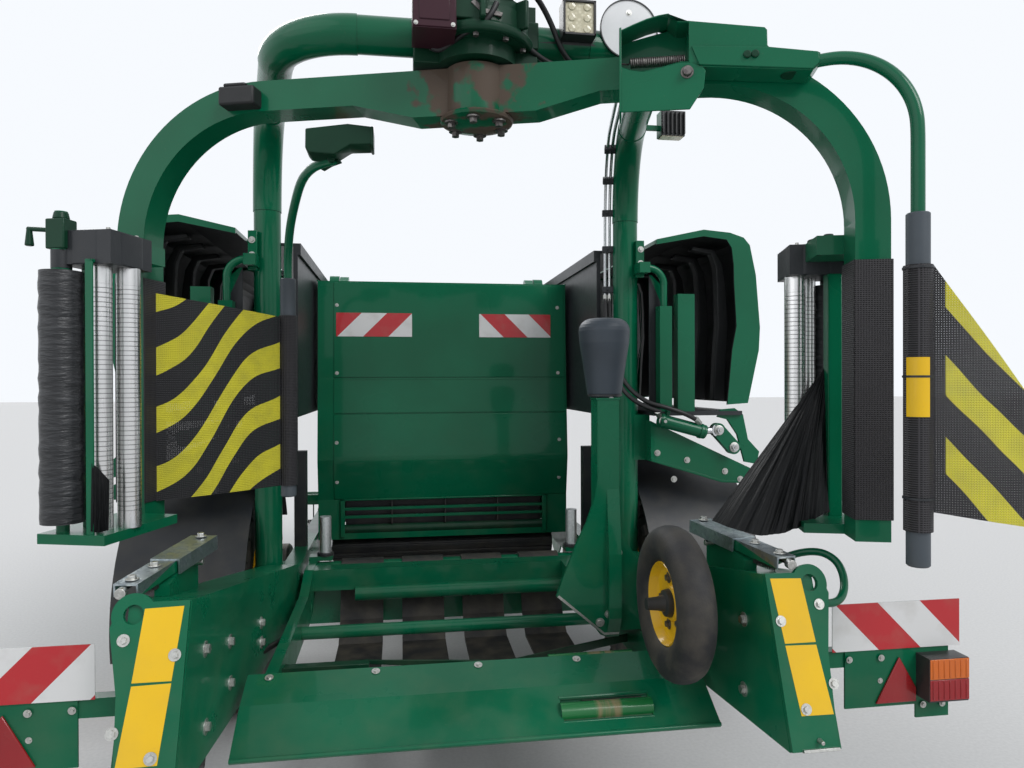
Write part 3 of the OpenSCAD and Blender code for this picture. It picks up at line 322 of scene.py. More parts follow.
def add_turned(mesh, profile, centre, axis, steps=64):
    """A lathe: profile holds (distance along the axis, radius) and the ends may lie on the axis."""
    axis = Vector(axis).normalized()
    side = axis.orthogonal().normalized()
    line = [mesh.verts.new(Vector(centre) + axis * along + side * radius) for along, radius in profile]
    edges = [mesh.edges.new(pair) for pair in zip(line, line[1:])]
    bmesh.ops.spin(
        mesh, geom=line + edges, cent=centre, axis=axis, angle=2 * math.pi, steps=steps, use_merge=True,
    )
    bmesh.ops.remove_doubles(mesh, verts=mesh.verts, dist=1e-6)


def ring(low, top, inner, outer):
    """A lathe profile of a plain ring."""
    return [(low, inner), (low, outer), (top, outer), (top, inner), (low, inner)]


def at_y(y, outline):
    """An outline in X and Z, laid at one place along the machine."""
    return [(x, y, z) for x, z in outline]


def circle(centre, radius, count, start=0.0, plane="xy"):
    """Points spread evenly round a centre."""
    first, second = ("xyz".index(axis) for axis in plane)
    points = [Vector(centre) for number in range(count)]
    for number, point in enumerate(points):
        angle = number * 2 * math.pi / count + start
        point[first] += radius * math.cos(angle)
        point[second] += radius * math.sin(angle)
    return points


# %% Finishing a piece
SLOT_FINISHES = {
    "green_paint": ("green_enamel", "worn_green_enamel", "shade_darkened_green", "plate_roller"),
    "yellow_paint": ("yellow_enamel", "yellow_sheet"),
    "black_plastic": ("black_plastic", "liner_plastic", "hose_rubber", "lamp_body", "red_brown_box"),
    "black_steel": ("black_steel", "pipe_plastic"),
    "zinc_steel": ("zinc", "bolt_steel", "dull_steel", "chrome", "ribbed_alloy"),
    "tyre_rubber": ("tyre_rubber",),
    "curtain_mesh": ("sleeve_net", "net_bands_left", "net_bands_right"),
    "film_black": ("film_black", "film_loose"),
}
SLOT_OF = {finish: slot for slot, finishes in SLOT_FINISHES.items() for finish in finishes}
made_pieces = []


def finish_piece(name, mesh, body, material, bevel=0.0, slot=None, place=None, smooth=35):
    """Turns a bmesh into an object that rides a body, with its edges softened."""
    if place:
        bmesh.ops.transform(mesh, matrix=place, verts=mesh.verts)
    bmesh.ops.recalc_face_normals(mesh, faces=mesh.faces)
    data = bpy.data.meshes.new(name)
    mesh.to_mesh(data)
    mesh.free()
    data.polygons.foreach_set("use_smooth", [True] * len(data.polygons))
    data.set_sharp_from_angle(angle=math.radians(smooth))
    piece = bpy.data.objects.new(name, data)
    bpy.context.scene.collection.objects.link(piece)
    data.materials.append(material)
    if bevel:
        softened = piece.modifiers.new("softened edges", "BEVEL")
        softened.width = bevel
        softened.segments = 2
        softened.limit_method = "ANGLE"
        softened.harden_normals = False
    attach(piece, body)
    slot or SLOT_OF.get(material.name.split(".")[0], "board_white")
    made_pieces.append(name)
    return piece


def assemble(name, body, material, shapes, **how):
    """A piece made of a list of shapes, each given as its function and what follows the mesh."""
    mesh = bmesh.new()
    for shape, *given in shapes:
        shape(mesh, *given)
    return finish_piece(name, mesh, body, material, **how)


def pipe(name, routes, radius, body, material, place=None, sides=4, smoothness=6):
    """One or more bent tubes or hoses of one radius through a few points each."""
    curve = bpy.data.curves.new(name, "CURVE")
    curve.dimensions = "3D"
    curve.bevel_depth = radius
    curve.bevel_resolution = sides
    curve.use_fill_caps = True
    curve.resolution_u = smoothness
    for route in routes:
        line = curve.splines.new("NURBS")
        line.points.add(len(route) - 1)
        for point, where in zip(line.points, route):
            spot = place @ Vector(where) if place else Vector(where)
            point.co = (*spot, 1.0)
        line.use_endpoint_u = True
        line.order_u = 3
    shaped = bpy.data.objects.new(name + "_curve", curve)
    data = bpy.data.meshes.new_from_object(shaped)
    data.name = name
    bpy.data.objects.remove(shaped)
    mesh = bmesh.new()
    mesh.from_mesh(data)
    bpy.data.meshes.remove(data)
    return finish_piece(name, mesh, body, material, smooth=60)


# %% Bolts by the handful
WASHER_SHARE, WASHER_RADIUS = 0.25, 1.7


def bolts(name, places, facing, body, radius=0.009, height=0.008, material=None, place=None):
    """Hexagon heads on washers, all facing one way."""
    facing = Vector(facing).normalized()
    mesh = bmesh.new()
    for where in places:
        where = Vector(where)
        seat = where + facing * height * WASHER_SHARE
        add_rod(mesh, where, seat, radius * WASHER_RADIUS, sides=16)
        add_rod(mesh, seat, where + facing * height, radius, sides=6)
    return finish_piece(name, mesh, body, material or bolt_steel, place=place)


SIDES = (("left", -1), ("right", 1))
print("helpers ready")

# %% [markdown]
# ## Paint for the fixed parts
# Every fixed part keeps its shape and gets its finish. A short table says which. Some parts are welded or
# bolted from several materials, such as a film store with green posts, chromed pins and a black plastic
# floor. Their faces are sorted by place: a small function of a face's middle picks one of a few finishes.

# %% Dress the fixed parts
FINISH_OF = {
    "chassis": green_enamel, "drawbar": green_enamel, "axle": black_steel,
    "chamber": green_enamel, "front_hood": green_enamel,
    "pickup_frame": green_enamel, "pickup_reel": black_steel,
    "rotor_beam": worn_green_enamel,
    "table_belts": belt_rubber, "tipper_post": green_enamel, "tipper_roller": cone_rubber,
}
FINISH_OF_PAIR = {
    "tyre": tyre_rubber, "rim": yellow_enamel, "mudguard": black_plastic, "side_beam": green_enamel,
}
for stem, material in FINISH_OF_PAIR.items():
    for word, side in SIDES:
        FINISH_OF[f"{stem}_{word}"] = material
for name, material in FINISH_OF.items():
    data = nodes[name].data
    data.materials.clear()
    data.materials.append(material)
print("dressed parts:", len(FINISH_OF))


# %% Dress the parts that have several finishes
def dress(name, materials, choose, side=1, undo=None):
    """Sorts a part's faces: choose gets a face's middle and normal, drawn for the right side."""
    data = nodes[name].data
    data.materials.clear()
    for material in materials:
        data.materials.append(material)
    mirror = Vector((side, 1, 1))
    for face in data.polygons:
        middle, normal = face.center.copy(), face.normal.copy()
        if undo:
            middle, normal = undo @ middle, undo.to_3x3() @ normal
        face.material_index = choose(middle * mirror, normal * mirror)


def inside(spot, low, high):
    return all(a <= v <= b for a, v, b in zip(low, spot, high))


def jack_finish(spot, normal):
    return 1 if spot.z < 0.339 and spot.z > 0.021 else 0


def gearbox_finish(spot, normal):
    return 1 if spot.y > 1.3705 else 0


def gate_finish(spot, normal):
    """Roller of the net slot and the inside of the gate's shell."""
    if inside(spot, (-0.57, -1.165, 0.79), (0.57, -1.105, 0.846)):
        return 1
    return 2 if spot.y > -1.139 and normal.y > 0.3 else 0


LINK_PINS = (Vector((1.262, 1.409)), Vector((1.339, 1.326)))


def store_finish(spot, normal):
    """Green steel under the floor, green posts and hoop, chromed rod and pins, the rest black plastic."""
    pin = spot.y < -2.003 and any((spot.xz - place).length < 0.031 for place in LINK_PINS)
    if pin or (inside(spot, (1.19, -2.003, 1.38), (1.262, -1.967, 1.43)) and spot.x > 1.192):
        return 2
    posts = (inside(spot, (0.970, -1.985, 1.5005), (1.156, -1.915, 2.07))
             or inside(spot, (0.87, -1.985, 1.96), (1.03, -1.82, 2.22)))
    clamp = inside(spot, (0.852, -1.880, 1.25), (0.962, -1.735, 1.4822))
    lever = inside(spot, (1.26, -1.9655, 1.10), (1.50, -1.9485, 1.52))
    return 1 if posts or clamp or lever or spot.z < 1.4795 else 0


def cover_finish(spot, normal):
    """Dark liner inside the shell, green outside and on the end rims."""
    inwards = Vector((1.14 - spot.x, 0, 1.88 - spot.z))
    return 1 if normal.dot(inwards) > 0 and abs(normal.y) < 0.5 else 0


def arch_finish(spot, normal):
    if (spot - Vector((0.515, -2.9475, 2.830))).length < 0.099 and spot.y < -2.9466:
        return 2
    lamps = (inside(spot, (0.27, -3.0, 2.768), (0.395, -2.940, 2.895))
             or inside(spot, (0.90, -2.215, 2.73), (1.02, -2.145, 2.855)))
    return 1 if lamps or inside(spot, (0.495, -2.99, 2.745), (0.535, -2.9445, 2.915)) else 0


def drive_finish(spot, normal):
    if inside(spot, (-0.212, -3.152, 2.690), (-0.078, -3.008, 2.832)):
        return 1
    return 2 if spot.z > 2.8895 and (spot.xy - Vector((0, -2.95))).length < 0.095 else 0


def cutter_finish(middle):
    """Green bracket and dark blade under a galvanised channel; middle is the bracket's place across."""
    def choose(spot, normal):
        if abs(spot.x - middle) < 0.0212 and spot.z < 1.129 and spot.y > -3.232:
            return 1
        blade = inside(spot, (middle - 0.01, -3.252, 1.08), (middle + 0.09, -3.15, 1.13))
        return 2 if blade and spot.z < 1.1235 else 0
    return choose


def board_finish(spot, normal):
    return 1 if spot.y < -3.306 else 0


def frame_finish(spot, normal):
    """Bright guides beside the tailgate and the roller in the rear plate's slot."""
    if spot.z > 0.8005:
        return 1
    return 2 if inside(spot, (0.24, -3.15, 0.594), (0.53, -3.09, 0.654)) and spot.z > 0.595 else 0


def gauge_finish(spot, normal):
    return 0 if (spot.yz - Vector((0.580, 0.190))).length > 0.119 else 1


white_disc = moulded("white_disc", colour(0.62, 0.63, 0.65), 0.35, 200.0, 0.05, dust=0.1)
liner_plastic = moulded("liner_plastic", colour(0.010, 0.011, 0.012), 0.50, 120.0, 0.2, dust=0.2)
dress("parking_jack", (green_enamel, zinc), jack_finish)
dress("drive_gearbox", (black_steel, bolt_steel), gearbox_finish)
dress("tailgate", (green_enamel, shade_darkened_green, black_steel), gate_finish)
dress("wrapper_arch", (green_enamel, black_steel, white_disc), arch_finish)
dress("rotor_drive", (shade_darkened_green, red_brown_box, black_steel), drive_finish)
dress("table_frame", (green_enamel, satin_steel, worn_band("slot_roller", 0.385, 0.045)), frame_finish)
for word, side in SIDES:
    dress(f"film_store_{word}", (black_plastic, green_enamel, chrome), store_finish, side)
    dress(f"store_cover_{word}", (green_enamel, liner_plastic), cover_finish, side)
    dress(f"side_door_{word}", (green_enamel, liner_plastic), cover_finish, side)
    dress(f"marking_board_{word}", (green_enamel, black_steel), board_finish, side)
    dress(f"gauge_wheel_{word}", (tyre_rubber, yellow_enamel), gauge_finish, side)
    dress(f"film_cutter_{word}", (zinc, green_enamel, black_steel), cutter_finish((0.889, 0.807)[side > 0]), side)
print("parts of several finishes dressed")

# %% [markdown]
# ## Road tyres
# The tyres are wide flotation tyres. The fixed part is a plain ring, so the real one is turned on the lathe
# with a rounded shoulder, and slanted lugs are set round it by a loop. The lugs are simple blocks because
# there are many of them.

# %% Turn a tyre and set its lugs
LUG_COUNT = 30
LUG_DEPTH = 0.028
RIM_RADIUS = 0.290
NUT_FACE, NUT_CIRCLE = 0.062, 0.085


def tread_lug(mesh, middle, radius, half, side, angle):
    """One slanted lug from near the centre line out over a shoulder."""
    turn = Matrix.Translation(middle) @ Matrix.Rotation(angle, 4, "X")
    inner, outer = side * half * 0.06, side * half * 0.97
    sunk, wide, skew = LUG_DEPTH + 0.022, 0.026, 0.12
    flat = [(inner, -wide, 0), (inner, wide, 0),
            (outer * 0.72, wide + skew * 0.8, 0.003), (outer, wide + skew, 0.030),
            (outer, -wide + skew, 0.030), (outer * 0.72, -wide + skew * 0.8, 0.003)]
    outline = [(x, y, math.sqrt((radius - drop) ** 2 - y * y)) for x, y, drop in flat]
    corners = add_plate(mesh, outline if side > 0 else outline[::-1], (0, 0, -sunk))
    bmesh.ops.transform(mesh, matrix=turn, verts=corners)


for word, side in SIDES:
    low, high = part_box(f"tyre_{word}")
    middle = (low + high) / 2
    radius = (high.z - low.z) / 2
    half = (high.x - low.x) / 2
    carcass = bmesh.new()
    bulge = [(-0.76, RIM_RADIUS), (-0.82, RIM_RADIUS + 0.03), (-0.93, RIM_RADIUS + 0.09), (-1.0, radius - 0.16),
             (-0.97, radius - 0.09), (-0.88, radius - 0.05), (-0.70, radius - 0.034), (-0.35, radius - LUG_DEPTH)]
    profile = [(along * half, around) for along, around in bulge]
    profile += [(-along, around) for along, around in reversed(profile)]
    add_turned(carcass, profile, middle, ACROSS, 72)
    for number in range(LUG_COUNT):
        angle = number * 2 * math.pi / LUG_COUNT
        tread_lug(carcass, middle, radius - 0.001, half, 1, angle)
        tread_lug(carcass, middle, radius - 0.001, half, -1, angle + math.pi / LUG_COUNT)
    piece = finish_piece(f"road_tyre_{word}", carcass, f"wheel_{word}", tyre_rubber)
    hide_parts(f"tyre_{word}")
    nuts = circle(middle + Vector((side * NUT_FACE, 0, 0)), NUT_CIRCLE, 8, plane="yz")
    bolts(f"wheel_nuts_{word}", nuts, (side, 0, 0), f"wheel_{word}", radius=0.014, height=0.022)
    print(piece.name, "faces:", len(piece.data.polygons))

# %% [markdown]
# ## Red and white stripes
# Two decals on the tailgate and two boards beside it carry slanting red and white bands. The bands are drawn
# from the height and the distance across, so they run on exactly where one band ends.

# %% Striped sheets
RED = colour(0.42, 0.006, 0.012)
WHITE = colour(0.62, 0.62, 0.62)
BAND = 0.14


def striped(name, side, start):
    """Bands that fall towards the outside, starting where |x| + z equals start."""
    foil = Finish(name, Roughness=0.3, Coat_Weight=0.3)
    across, along, height = foil.split(foil.place())
    band = ((across * side + height - start) / (2 * BAND)).fraction() < 0.5
    soiled = foil.noise(14.0, 5.0).ramp(0.5, 0.8) * 0.25
    foil.feed("Base Color", foil.mix(soiled, foil.mix(band, WHITE, RED), DUST))
    cells = foil.add("ShaderNodeTexVoronoi", {"Vector": foil.place(), "Scale": 260.0})
    foil.bump(cells, 0.06, 0.001)
    return foil.material


BOARD_X, BOARD_Y, BOARD_Z, BOARD_START = (1.030, 1.454), (-3.306, -3.3041), (0.831, 0.974), 2.013
for word, side in SIDES:
    assemble(f"board_foil_{word}", "root", striped(f"board_stripes_{word}", side, BOARD_START), [
        (add_block, (side * BOARD_X[0], BOARD_Y[0], BOARD_Z[0]), (side * BOARD_X[1], BOARD_Y[1], BOARD_Z[1]))])

GATE_DECALS = (("left", -1, -0.604, -0.185, 2.497), ("right", 1, 0.197, 0.613, 2.238))
DECAL_LOW, DECAL_TOP, DECAL_OUT = 1.900, 2.033, 0.0061
GATE_REAR = -1.154


def gate_y(height, out=0.0):
    """The rear face of the tailgate at a height, and how far a piece stands out of it."""
    bends = ((0.767, -1.154), (0.990, -1.154), (1.214, -1.194), (1.467, -1.174), (1.669, -1.154), (2.211, -1.134))
    for (z0, y0), (z1, y1) in zip(bends, bends[1:]):
        if height <= z1:
            break
    return y0 + (y1 - y0) * (height - z0) / (z1 - z0) - out


for word, side, left, right, start in GATE_DECALS:
    corners = [(x, gate_y(z, DECAL_OUT), z) for x, z in (
        (left, DECAL_LOW), (right, DECAL_LOW), (right, DECAL_TOP), (left, DECAL_TOP))]
    assemble(f"gate_decal_{word}", "tailgate", striped(f"gate_stripes_{word}", side, start),
             [(add_plate, corners, (0, 0.0015, 0))])
print("striped sheets: 4")

# %% [markdown]
# ## The tailgate's panels
# The back of the bale chamber is closed by bent sheets with narrow joints between them. A joint is only seen
# because there is a real gap, so each sheet is its own slightly raised panel over the fixed shell.

# %% Panels, net slot and bolts of the tailgate
PANEL_LEFT, PANEL_RIGHT, SHEET, JOINT = -0.617, 0.694, 0.004, 0.0025
JOINT_LOW, JOINT_TOP, GATE_TOP = 1.467, 1.669, 2.203


def gate_panel(mesh, heights):
    """One bent sheet that follows the shell between the first and the last height."""
    outer = [(PANEL_RIGHT, gate_y(z, SHEET), z) for z in heights]
    inner = [(PANEL_RIGHT, gate_y(z, -0.001), z) for z in reversed(heights)]
    add_plate(mesh, outer + inner, (PANEL_LEFT - PANEL_RIGHT, 0, 0))


assemble("gate_panels", "tailgate", green_enamel, [
    (gate_panel, (JOINT_TOP + JOINT, GATE_TOP)),
    (gate_panel, (JOINT_LOW + JOINT, JOINT_TOP - JOINT)),
    (gate_panel, (0.992, 1.05, 1.12, 1.19, 1.214, 1.24, 1.32, JOINT_LOW - JOINT)),
], bevel=0.0015)

SLOT_HALF, SLOT_LOW, SLOT_TOP, RIM_OUT, RIM_LOW, RIM_TOP = 0.560, 0.796, 0.982, 0.584, 0.780, 0.992
assemble("net_slot_back", "tailgate", black_plastic, [
    (add_block, (-SLOT_HALF, GATE_REAR + 0.060, SLOT_LOW), (SLOT_HALF, GATE_REAR + 0.064, RIM_TOP))])
assemble("net_slot_ribs", "tailgate", black_steel, [
    (add_block, (x - 0.004, GATE_REAR + 0.001, 0.845), (x + 0.004, GATE_REAR + 0.058, SLOT_TOP - 0.001))
    for x in (-0.30, 0.0, 0.30)], bevel=0.001, slot="black_plastic")
assemble("net_slot_rim", "tailgate", green_enamel, [
    (add_block, (x0, GATE_REAR - 0.012, low), (x1, GATE_REAR + 0.001, RIM_TOP))
    for x0, x1, low in ((-RIM_OUT, RIM_OUT, SLOT_TOP), (-RIM_OUT, -SLOT_HALF, RIM_LOW), (SLOT_HALF, RIM_OUT, RIM_LOW))
], bevel=0.003)
spots = [(x, gate_y(z, SHEET), z) for x in (-0.600, 0.655) for z in (2.075, 1.695, 1.31, 1.09)]
bolts("gate_bolts", spots, REARWARD, "tailgate", radius=0.006, height=0.005)
assemble("gate_panel_hems", "tailgate", green_enamel, [
    (add_block, (PANEL_LEFT + 0.006, gate_y(z, SHEET + 0.002), z - 0.002),
     (PANEL_RIGHT - 0.006, gate_y(z, SHEET - 0.002), z)) for z in (1.660, 1.476)])
assemble("gate_rim", "tailgate", green_enamel, [
    (add_rod, (side * 0.704, gate_y(GATE_TOP), 2.211), (side * 0.704, gate_y(GATE_TOP) + 0.25, 2.223), 0.004)
    for side in (-1, 1)])

# %% [markdown]
# ## Yellow plates and reflectors
# Each end of the wrapping table carries two upright plates. They are left blank: only the yellow sheet and its
# thin joint. A red triangle, a lamp in two colours and their screws finish the boards.

# %% Plates on the slanted ends of the side beams
PLATE_TILT = math.radians(17.5)
PLATE_TOP = Vector((0, -3.366, 1.094))
beam_face = Matrix.Translation(PLATE_TOP) @ Matrix.Rotation(-PLATE_TILT, 4, "X")
BLANK_PLATES = (((0.789, -0.014), (0.882, -0.017), (0.897, -0.190), (0.805, -0.190)),
                ((0.805, -0.195), (0.897, -0.197), (0.916, -0.377), (0.822, -0.376)))
PLATE_OUT = -0.0147
yellow_sheet = enamel("yellow_sheet", colour(0.80, 0.50, 0.015), colour(0.72, 0.43, 0.012), 0.34, 0.3, 0.2)
for word, side in SIDES:
    assemble(f"yellow_plates_{word}", "root", yellow_sheet, [
        (add_plate, [(side * x, PLATE_OUT, z) for x, z in corners], (0, 0.0012, 0)) for corners in BLANK_PLATES
    ], place=beam_face)
    spots = [(side * x, PLATE_OUT, z) for x, z in ((0.925, -0.09), (0.802, -0.130), (0.838, -0.360), (0.93, -0.30))]
    bolts(f"end_plate_bolts_{word}", spots, REARWARD, "root", place=beam_face)

# %% Triangles, lamps and screws of the boards
red_plastic = enamel("red_plastic", colour(0.30, 0.008, 0.012), colour(0.24, 0.006, 0.01), 0.2, 0.7, 0.1)
amber_plastic = enamel("amber_plastic", colour(0.62, 0.14, 0.006), colour(0.5, 0.10, 0.005), 0.15, 0.8, 0.1)
BRACKET_FACE, LENS_RIBS = -3.3012, 7
TRIANGLE = ((1.250, 0.805), (1.172, 0.667), (1.306, 0.667), (1.306, 0.71))
for word, side in SIDES:
    assemble(f"reflector_{word}", "root", red_plastic, [
        (add_plate, [(side * x, BRACKET_FACE, z) for x, z in TRIANGLE], (0, -0.008, 0))], bevel=0.003)
    for tone, low, high, lens in (("amber", 0.752, 0.812, amber_plastic), ("red", 0.688, 0.750, red_plastic)):
        lamp = bmesh.new()
        add_block(lamp, (side * 1.312, -3.3615, low), (side * 1.4415, -3.300, high))
        for rib in range(LENS_RIBS):
            across = side * (1.322 + rib * (0.110 / (LENS_RIBS - 1)))
            add_rod(lamp, (across, -3.3612, low + 0.004), (across, -3.3612, high - 0.004), 0.003, sides=8)
        finish_piece(f"lamp_{tone}_{word}", lamp, "root", lens, bevel=0.002)
    spots = [(side * x, BRACKET_FACE, z) for x, z in ((1.19, 0.735), (1.255, 0.775), (1.255, 0.690), (1.10, 0.86))]
    bolts(f"board_screws_{word}", spots, REARWARD, "root", radius=0.005, height=0.004)
print("plates, reflectors and lamps ready")

# %% [markdown]
# ## The rotor's frame
# Two arms hang from the rotor's hub and carry the film units round the bale. As parked, the rotor stands
# seventeen degrees off square, so everything on it is drawn square first and then turned into place.

# %% Places on the rotor
ROTOR = Matrix.Translation((0, -2.950, 0)) @ Matrix.Rotation(math.radians(-17), 4, "Z")
HALF_TURN = Matrix.Rotation(math.pi, 4, "Z")
UNIT_PLACE = {"left": ROTOR @ HALF_TURN, "right": ROTOR}
ROLL_SPOT = (1.191, 0.378, 0)
TUBES = {"left": (0.8532, -0.4195, 0), "right": (1.2503, -0.2501, 0)}
TUBE_RADIUS = 0.030
FILM_LOW, FILM_TOP = 1.230, 1.980
LEG_RADIUS = 1.200

# %% [markdown]
# ## Stretch rollers
# A film unit pulls the film over two ribbed alloy rollers, so that it stretches on its way to the bale. The
# ribs are real rings in the lathe's profile, and the finish paints shade into the grooves between them.

# %% Ribbed rollers
ROLLER_PLACES = ((1.052, 0.268), (1.100, 0.333))
ROLLER_R, ROLLER_LOW, ROLLER_TOP, RINGS, COLLAR = 0.0345, 1.201, 1.999, 48, 0.052
RING_STEP = (ROLLER_TOP - ROLLER_LOW - 2 * COLLAR) / RINGS


def ribbed_finish():
    """Bright alloy with painted shade in each groove, on the same spacing as the rings."""
    alloy = Finish("ribbed_alloy", Metallic=1.0)
    height = alloy.split(alloy.place())[2]
    along = (height - ROLLER_LOW - COLLAR) / RING_STEP
    ringed = (along > 0.0) * (along < float(RINGS))
    # painted shade: each groove between the rings is darkened in the colour
    groove = ((along - 0.05) * (2 * math.pi)).math("COSINE").ramp(0.70, 0.96) * ringed
    stain = alloy.noise(16.0, 4.0, (1, 1, 0.15))
    bare = alloy.mix(stain, colour(0.74, 0.74, 0.73), colour(0.54, 0.54, 0.54))
    alloy.feed("Base Color", alloy.mix(groove, bare, colour(0.27, 0.27, 0.27)))
    alloy.feed("Roughness", stain * 0.14 + 0.20)
    return alloy.material


ribbed_alloy = ribbed_finish()


def ribbed_profile():
    """Along the roller: a plain collar at each end and rings between."""
    low, high, neck, crest, groove = ROLLER_LOW, ROLLER_TOP, ROLLER_R - 0.004, ROLLER_R - 0.0002, ROLLER_R - 0.0026
    profile = [(low, 0.0), (low, ROLLER_R), (low + 0.045, ROLLER_R), (low + 0.047, neck), (low + COLLAR, neck)]
    for number in range(RINGS):
        start = low + COLLAR + number * RING_STEP
        profile += [(start + RING_STEP * share, radius)
                    for share, radius in ((0.16, crest), (0.86, crest), (0.96, groove), (1.06, groove))]
    return profile + [(high - 0.047, neck), (high - 0.045, ROLLER_R), (high, ROLLER_R), (high, 0.0)]


for word, place in UNIT_PLACE.items():
    assemble(f"stretch_rollers_{word}", "rotor", ribbed_alloy, [
        (add_turned, ribbed_profile(), (x, y, 0), UP, 28) for x, y in ROLLER_PLACES], place=place)


def unit_finish(spot, normal):
    """In the rotor's square frame: alloy cores of the rollers, plastic head and green steel."""
    if any((spot.xy - Vector(place)).length < ROLLER_R and 1.2005 < spot.z < 2.0 for place in ROLLER_PLACES):
        return 2
    return 1 if spot.z > 1.9995 and inside(spot, (1.0, 0.1985, 1.9995), (1.1955, 0.3905, 2.102)) else 0


for word, place in UNIT_PLACE.items():
    dress(f"film_unit_{word}", (green_enamel, black_plastic, ribbed_alloy), unit_finish, undo=place.inverted())

# %% [markdown]
# ## Safety arms
# A person who stands too near is pushed by a tube that hangs beside each film unit, and that stops the rotor.
# On the right a folded steel housing with a coil spring holds the bent rod of the tube. On the left the same
# rod leaves a bracket under the beam. Each part is a few plates pushed out of an outline drawn from the rear.

# %% Plates of the right housing
HOUSING_FRONT, HOUSING_BACK = -0.158, -0.057


def rear_plate(mesh, outline, front, back):
    """An outline in X and Z, pushed from its front towards the beam."""
    add_plate(mesh, at_y(front, outline), (0, back - front, 0))


def folded_strip(mesh, line, thick, front, back):
    """A bent sheet: a line in X and Z, given its thickness downwards."""
    rear_plate(mesh, line + [(x, z - thick) for x, z in reversed(line)], front, back)


FLANGE = [(0.465, 2.578), (0.497, 2.566), (0.529, 2.561), (0.580, 2.568), (0.636, 2.581), (0.693, 2.577)]
HOOD = [(0.465, 2.685), (0.500, 2.699), (0.540, 2.713), (0.575, 2.721), (0.603, 2.724), (0.630, 2.700),
        (0.664, 2.698)]
BOX = [(0.661, 2.698), (0.874, 2.664), (0.881, 2.656), (0.882, 2.611), (0.891, 2.603), (1.026, 2.582), (1.030, 2.552),
       (1.006, 2.532), (0.693, 2.562), (0.661, 2.575)]
STIFFENER = [(0.668, 2.622), (0.886, 2.604), (1.020, 2.582), (1.024, 2.552), (1.004, 2.534), (0.690, 2.566)]
housing_piece = assemble("guard_housing_right", "rotor", green_enamel, [
    (rear_plate, [(0.465, 2.442)] + FLANGE + [(0.709, 2.550), (0.704, 2.500), (0.664, 2.440)],
     HOUSING_FRONT, HOUSING_FRONT + 0.006),
    (folded_strip, FLANGE, 0.006, HOUSING_FRONT, HOUSING_BACK),
    (folded_strip, HOOD, 0.005, HOUSING_FRONT, HOUSING_BACK),
    (rear_plate, [(0.460, 2.442), (0.460, 2.690), (0.467, 2.692), (0.467, 2.442)], HOUSING_FRONT - 0.003,
     HOUSING_BACK),
    (rear_plate, [(0.464, 2.545), (0.464, 2.686), (0.603, 2.716), (0.664, 2.694), (0.700, 2.560)],
     HOUSING_BACK - 0.004, HOUSING_BACK),
    (rear_plate, BOX, HOUSING_FRONT, HOUSING_BACK - 0.004),
    (rear_plate, STIFFENER, HOUSING_FRONT - 0.006, HOUSING_FRONT),
], bevel=0.002, place=ROTOR)
PIVOT = Vector((0.958, -0.115, 2.562))
assemble("guard_pivot_right", "rotor", shade_darkened_green, [
    (add_rod, PIVOT - Vector((0, 0, 0.026)), PIVOT + Vector((0, 0, 0.032)), 0.032),
    *((add_rod, (x, -0.163, 2.585), (x, -0.172, 2.585), 0.011) for x in (0.824, 0.846)),
], bevel=0.003, place=ROTOR)
assemble("guard_pin_right", "rotor", dull_steel, [
    (add_rod, (0.656, -0.157, 2.548), (0.656, -0.157 - long, 2.548), radius)
    for long, radius in ((0.019, 0.014), (0.005, 0.019))], bevel=0.003, place=ROTOR)

# %% The coil spring of the right housing
COIL_FROM, COIL_TO, COIL_TURNS, COIL_STEPS, COIL_R, COIL_Z = 0.492, 0.655, 26, 6, 0.015, 2.602
route = [(0.468, PIVOT.y, COIL_Z)]
for step in range(COIL_TURNS * COIL_STEPS + 1):
    along = COIL_FROM + (COIL_TO - COIL_FROM) * step / (COIL_TURNS * COIL_STEPS)
    angle = step * 2 * math.pi / COIL_STEPS
    route.append((along, PIVOT.y + COIL_R * math.cos(angle), COIL_Z + COIL_R * math.sin(angle)))
route.append((0.670, PIVOT.y, COIL_Z))
pipe("guard_spring_right", [route], 0.0026, "rotor", dull_steel, place=ROTOR, sides=1, smoothness=2)

# %% Bracket of the left arm
bracket_piece = assemble("guard_bracket_left", "rotor", shade_darkened_green, [
    (rear_plate, [(-0.556, 2.484), (-0.557, 2.420), (-0.545, 2.405), (-0.462, 2.402), (-0.412, 2.436),
                  (-0.342, 2.441), (-0.338, 2.500), (-0.420, 2.506)], -2.842, -2.740),
    (add_block, (-0.345, -2.846, 2.436), (-0.335, -2.736, 2.500)),
], bevel=0.004)
assemble("guard_clevis_left", "rotor", shade_darkened_green, [
    (add_plate, [(-0.462, -2.780, 2.412), (-0.500, -2.745, 2.420), (-0.530, -2.705, 2.412), (-0.520, -2.700, 2.388),
                 (-0.490, -2.740, 2.394), (-0.452, -2.782, 2.396)], (0.010, 0.020, 0.0)),
    (add_rod, (-0.478, -2.800, 2.402), (-0.478, -2.740, 2.402), 0.012),
], bevel=0.002)
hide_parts("safety_arm_left")
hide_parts("safety_arm_right")

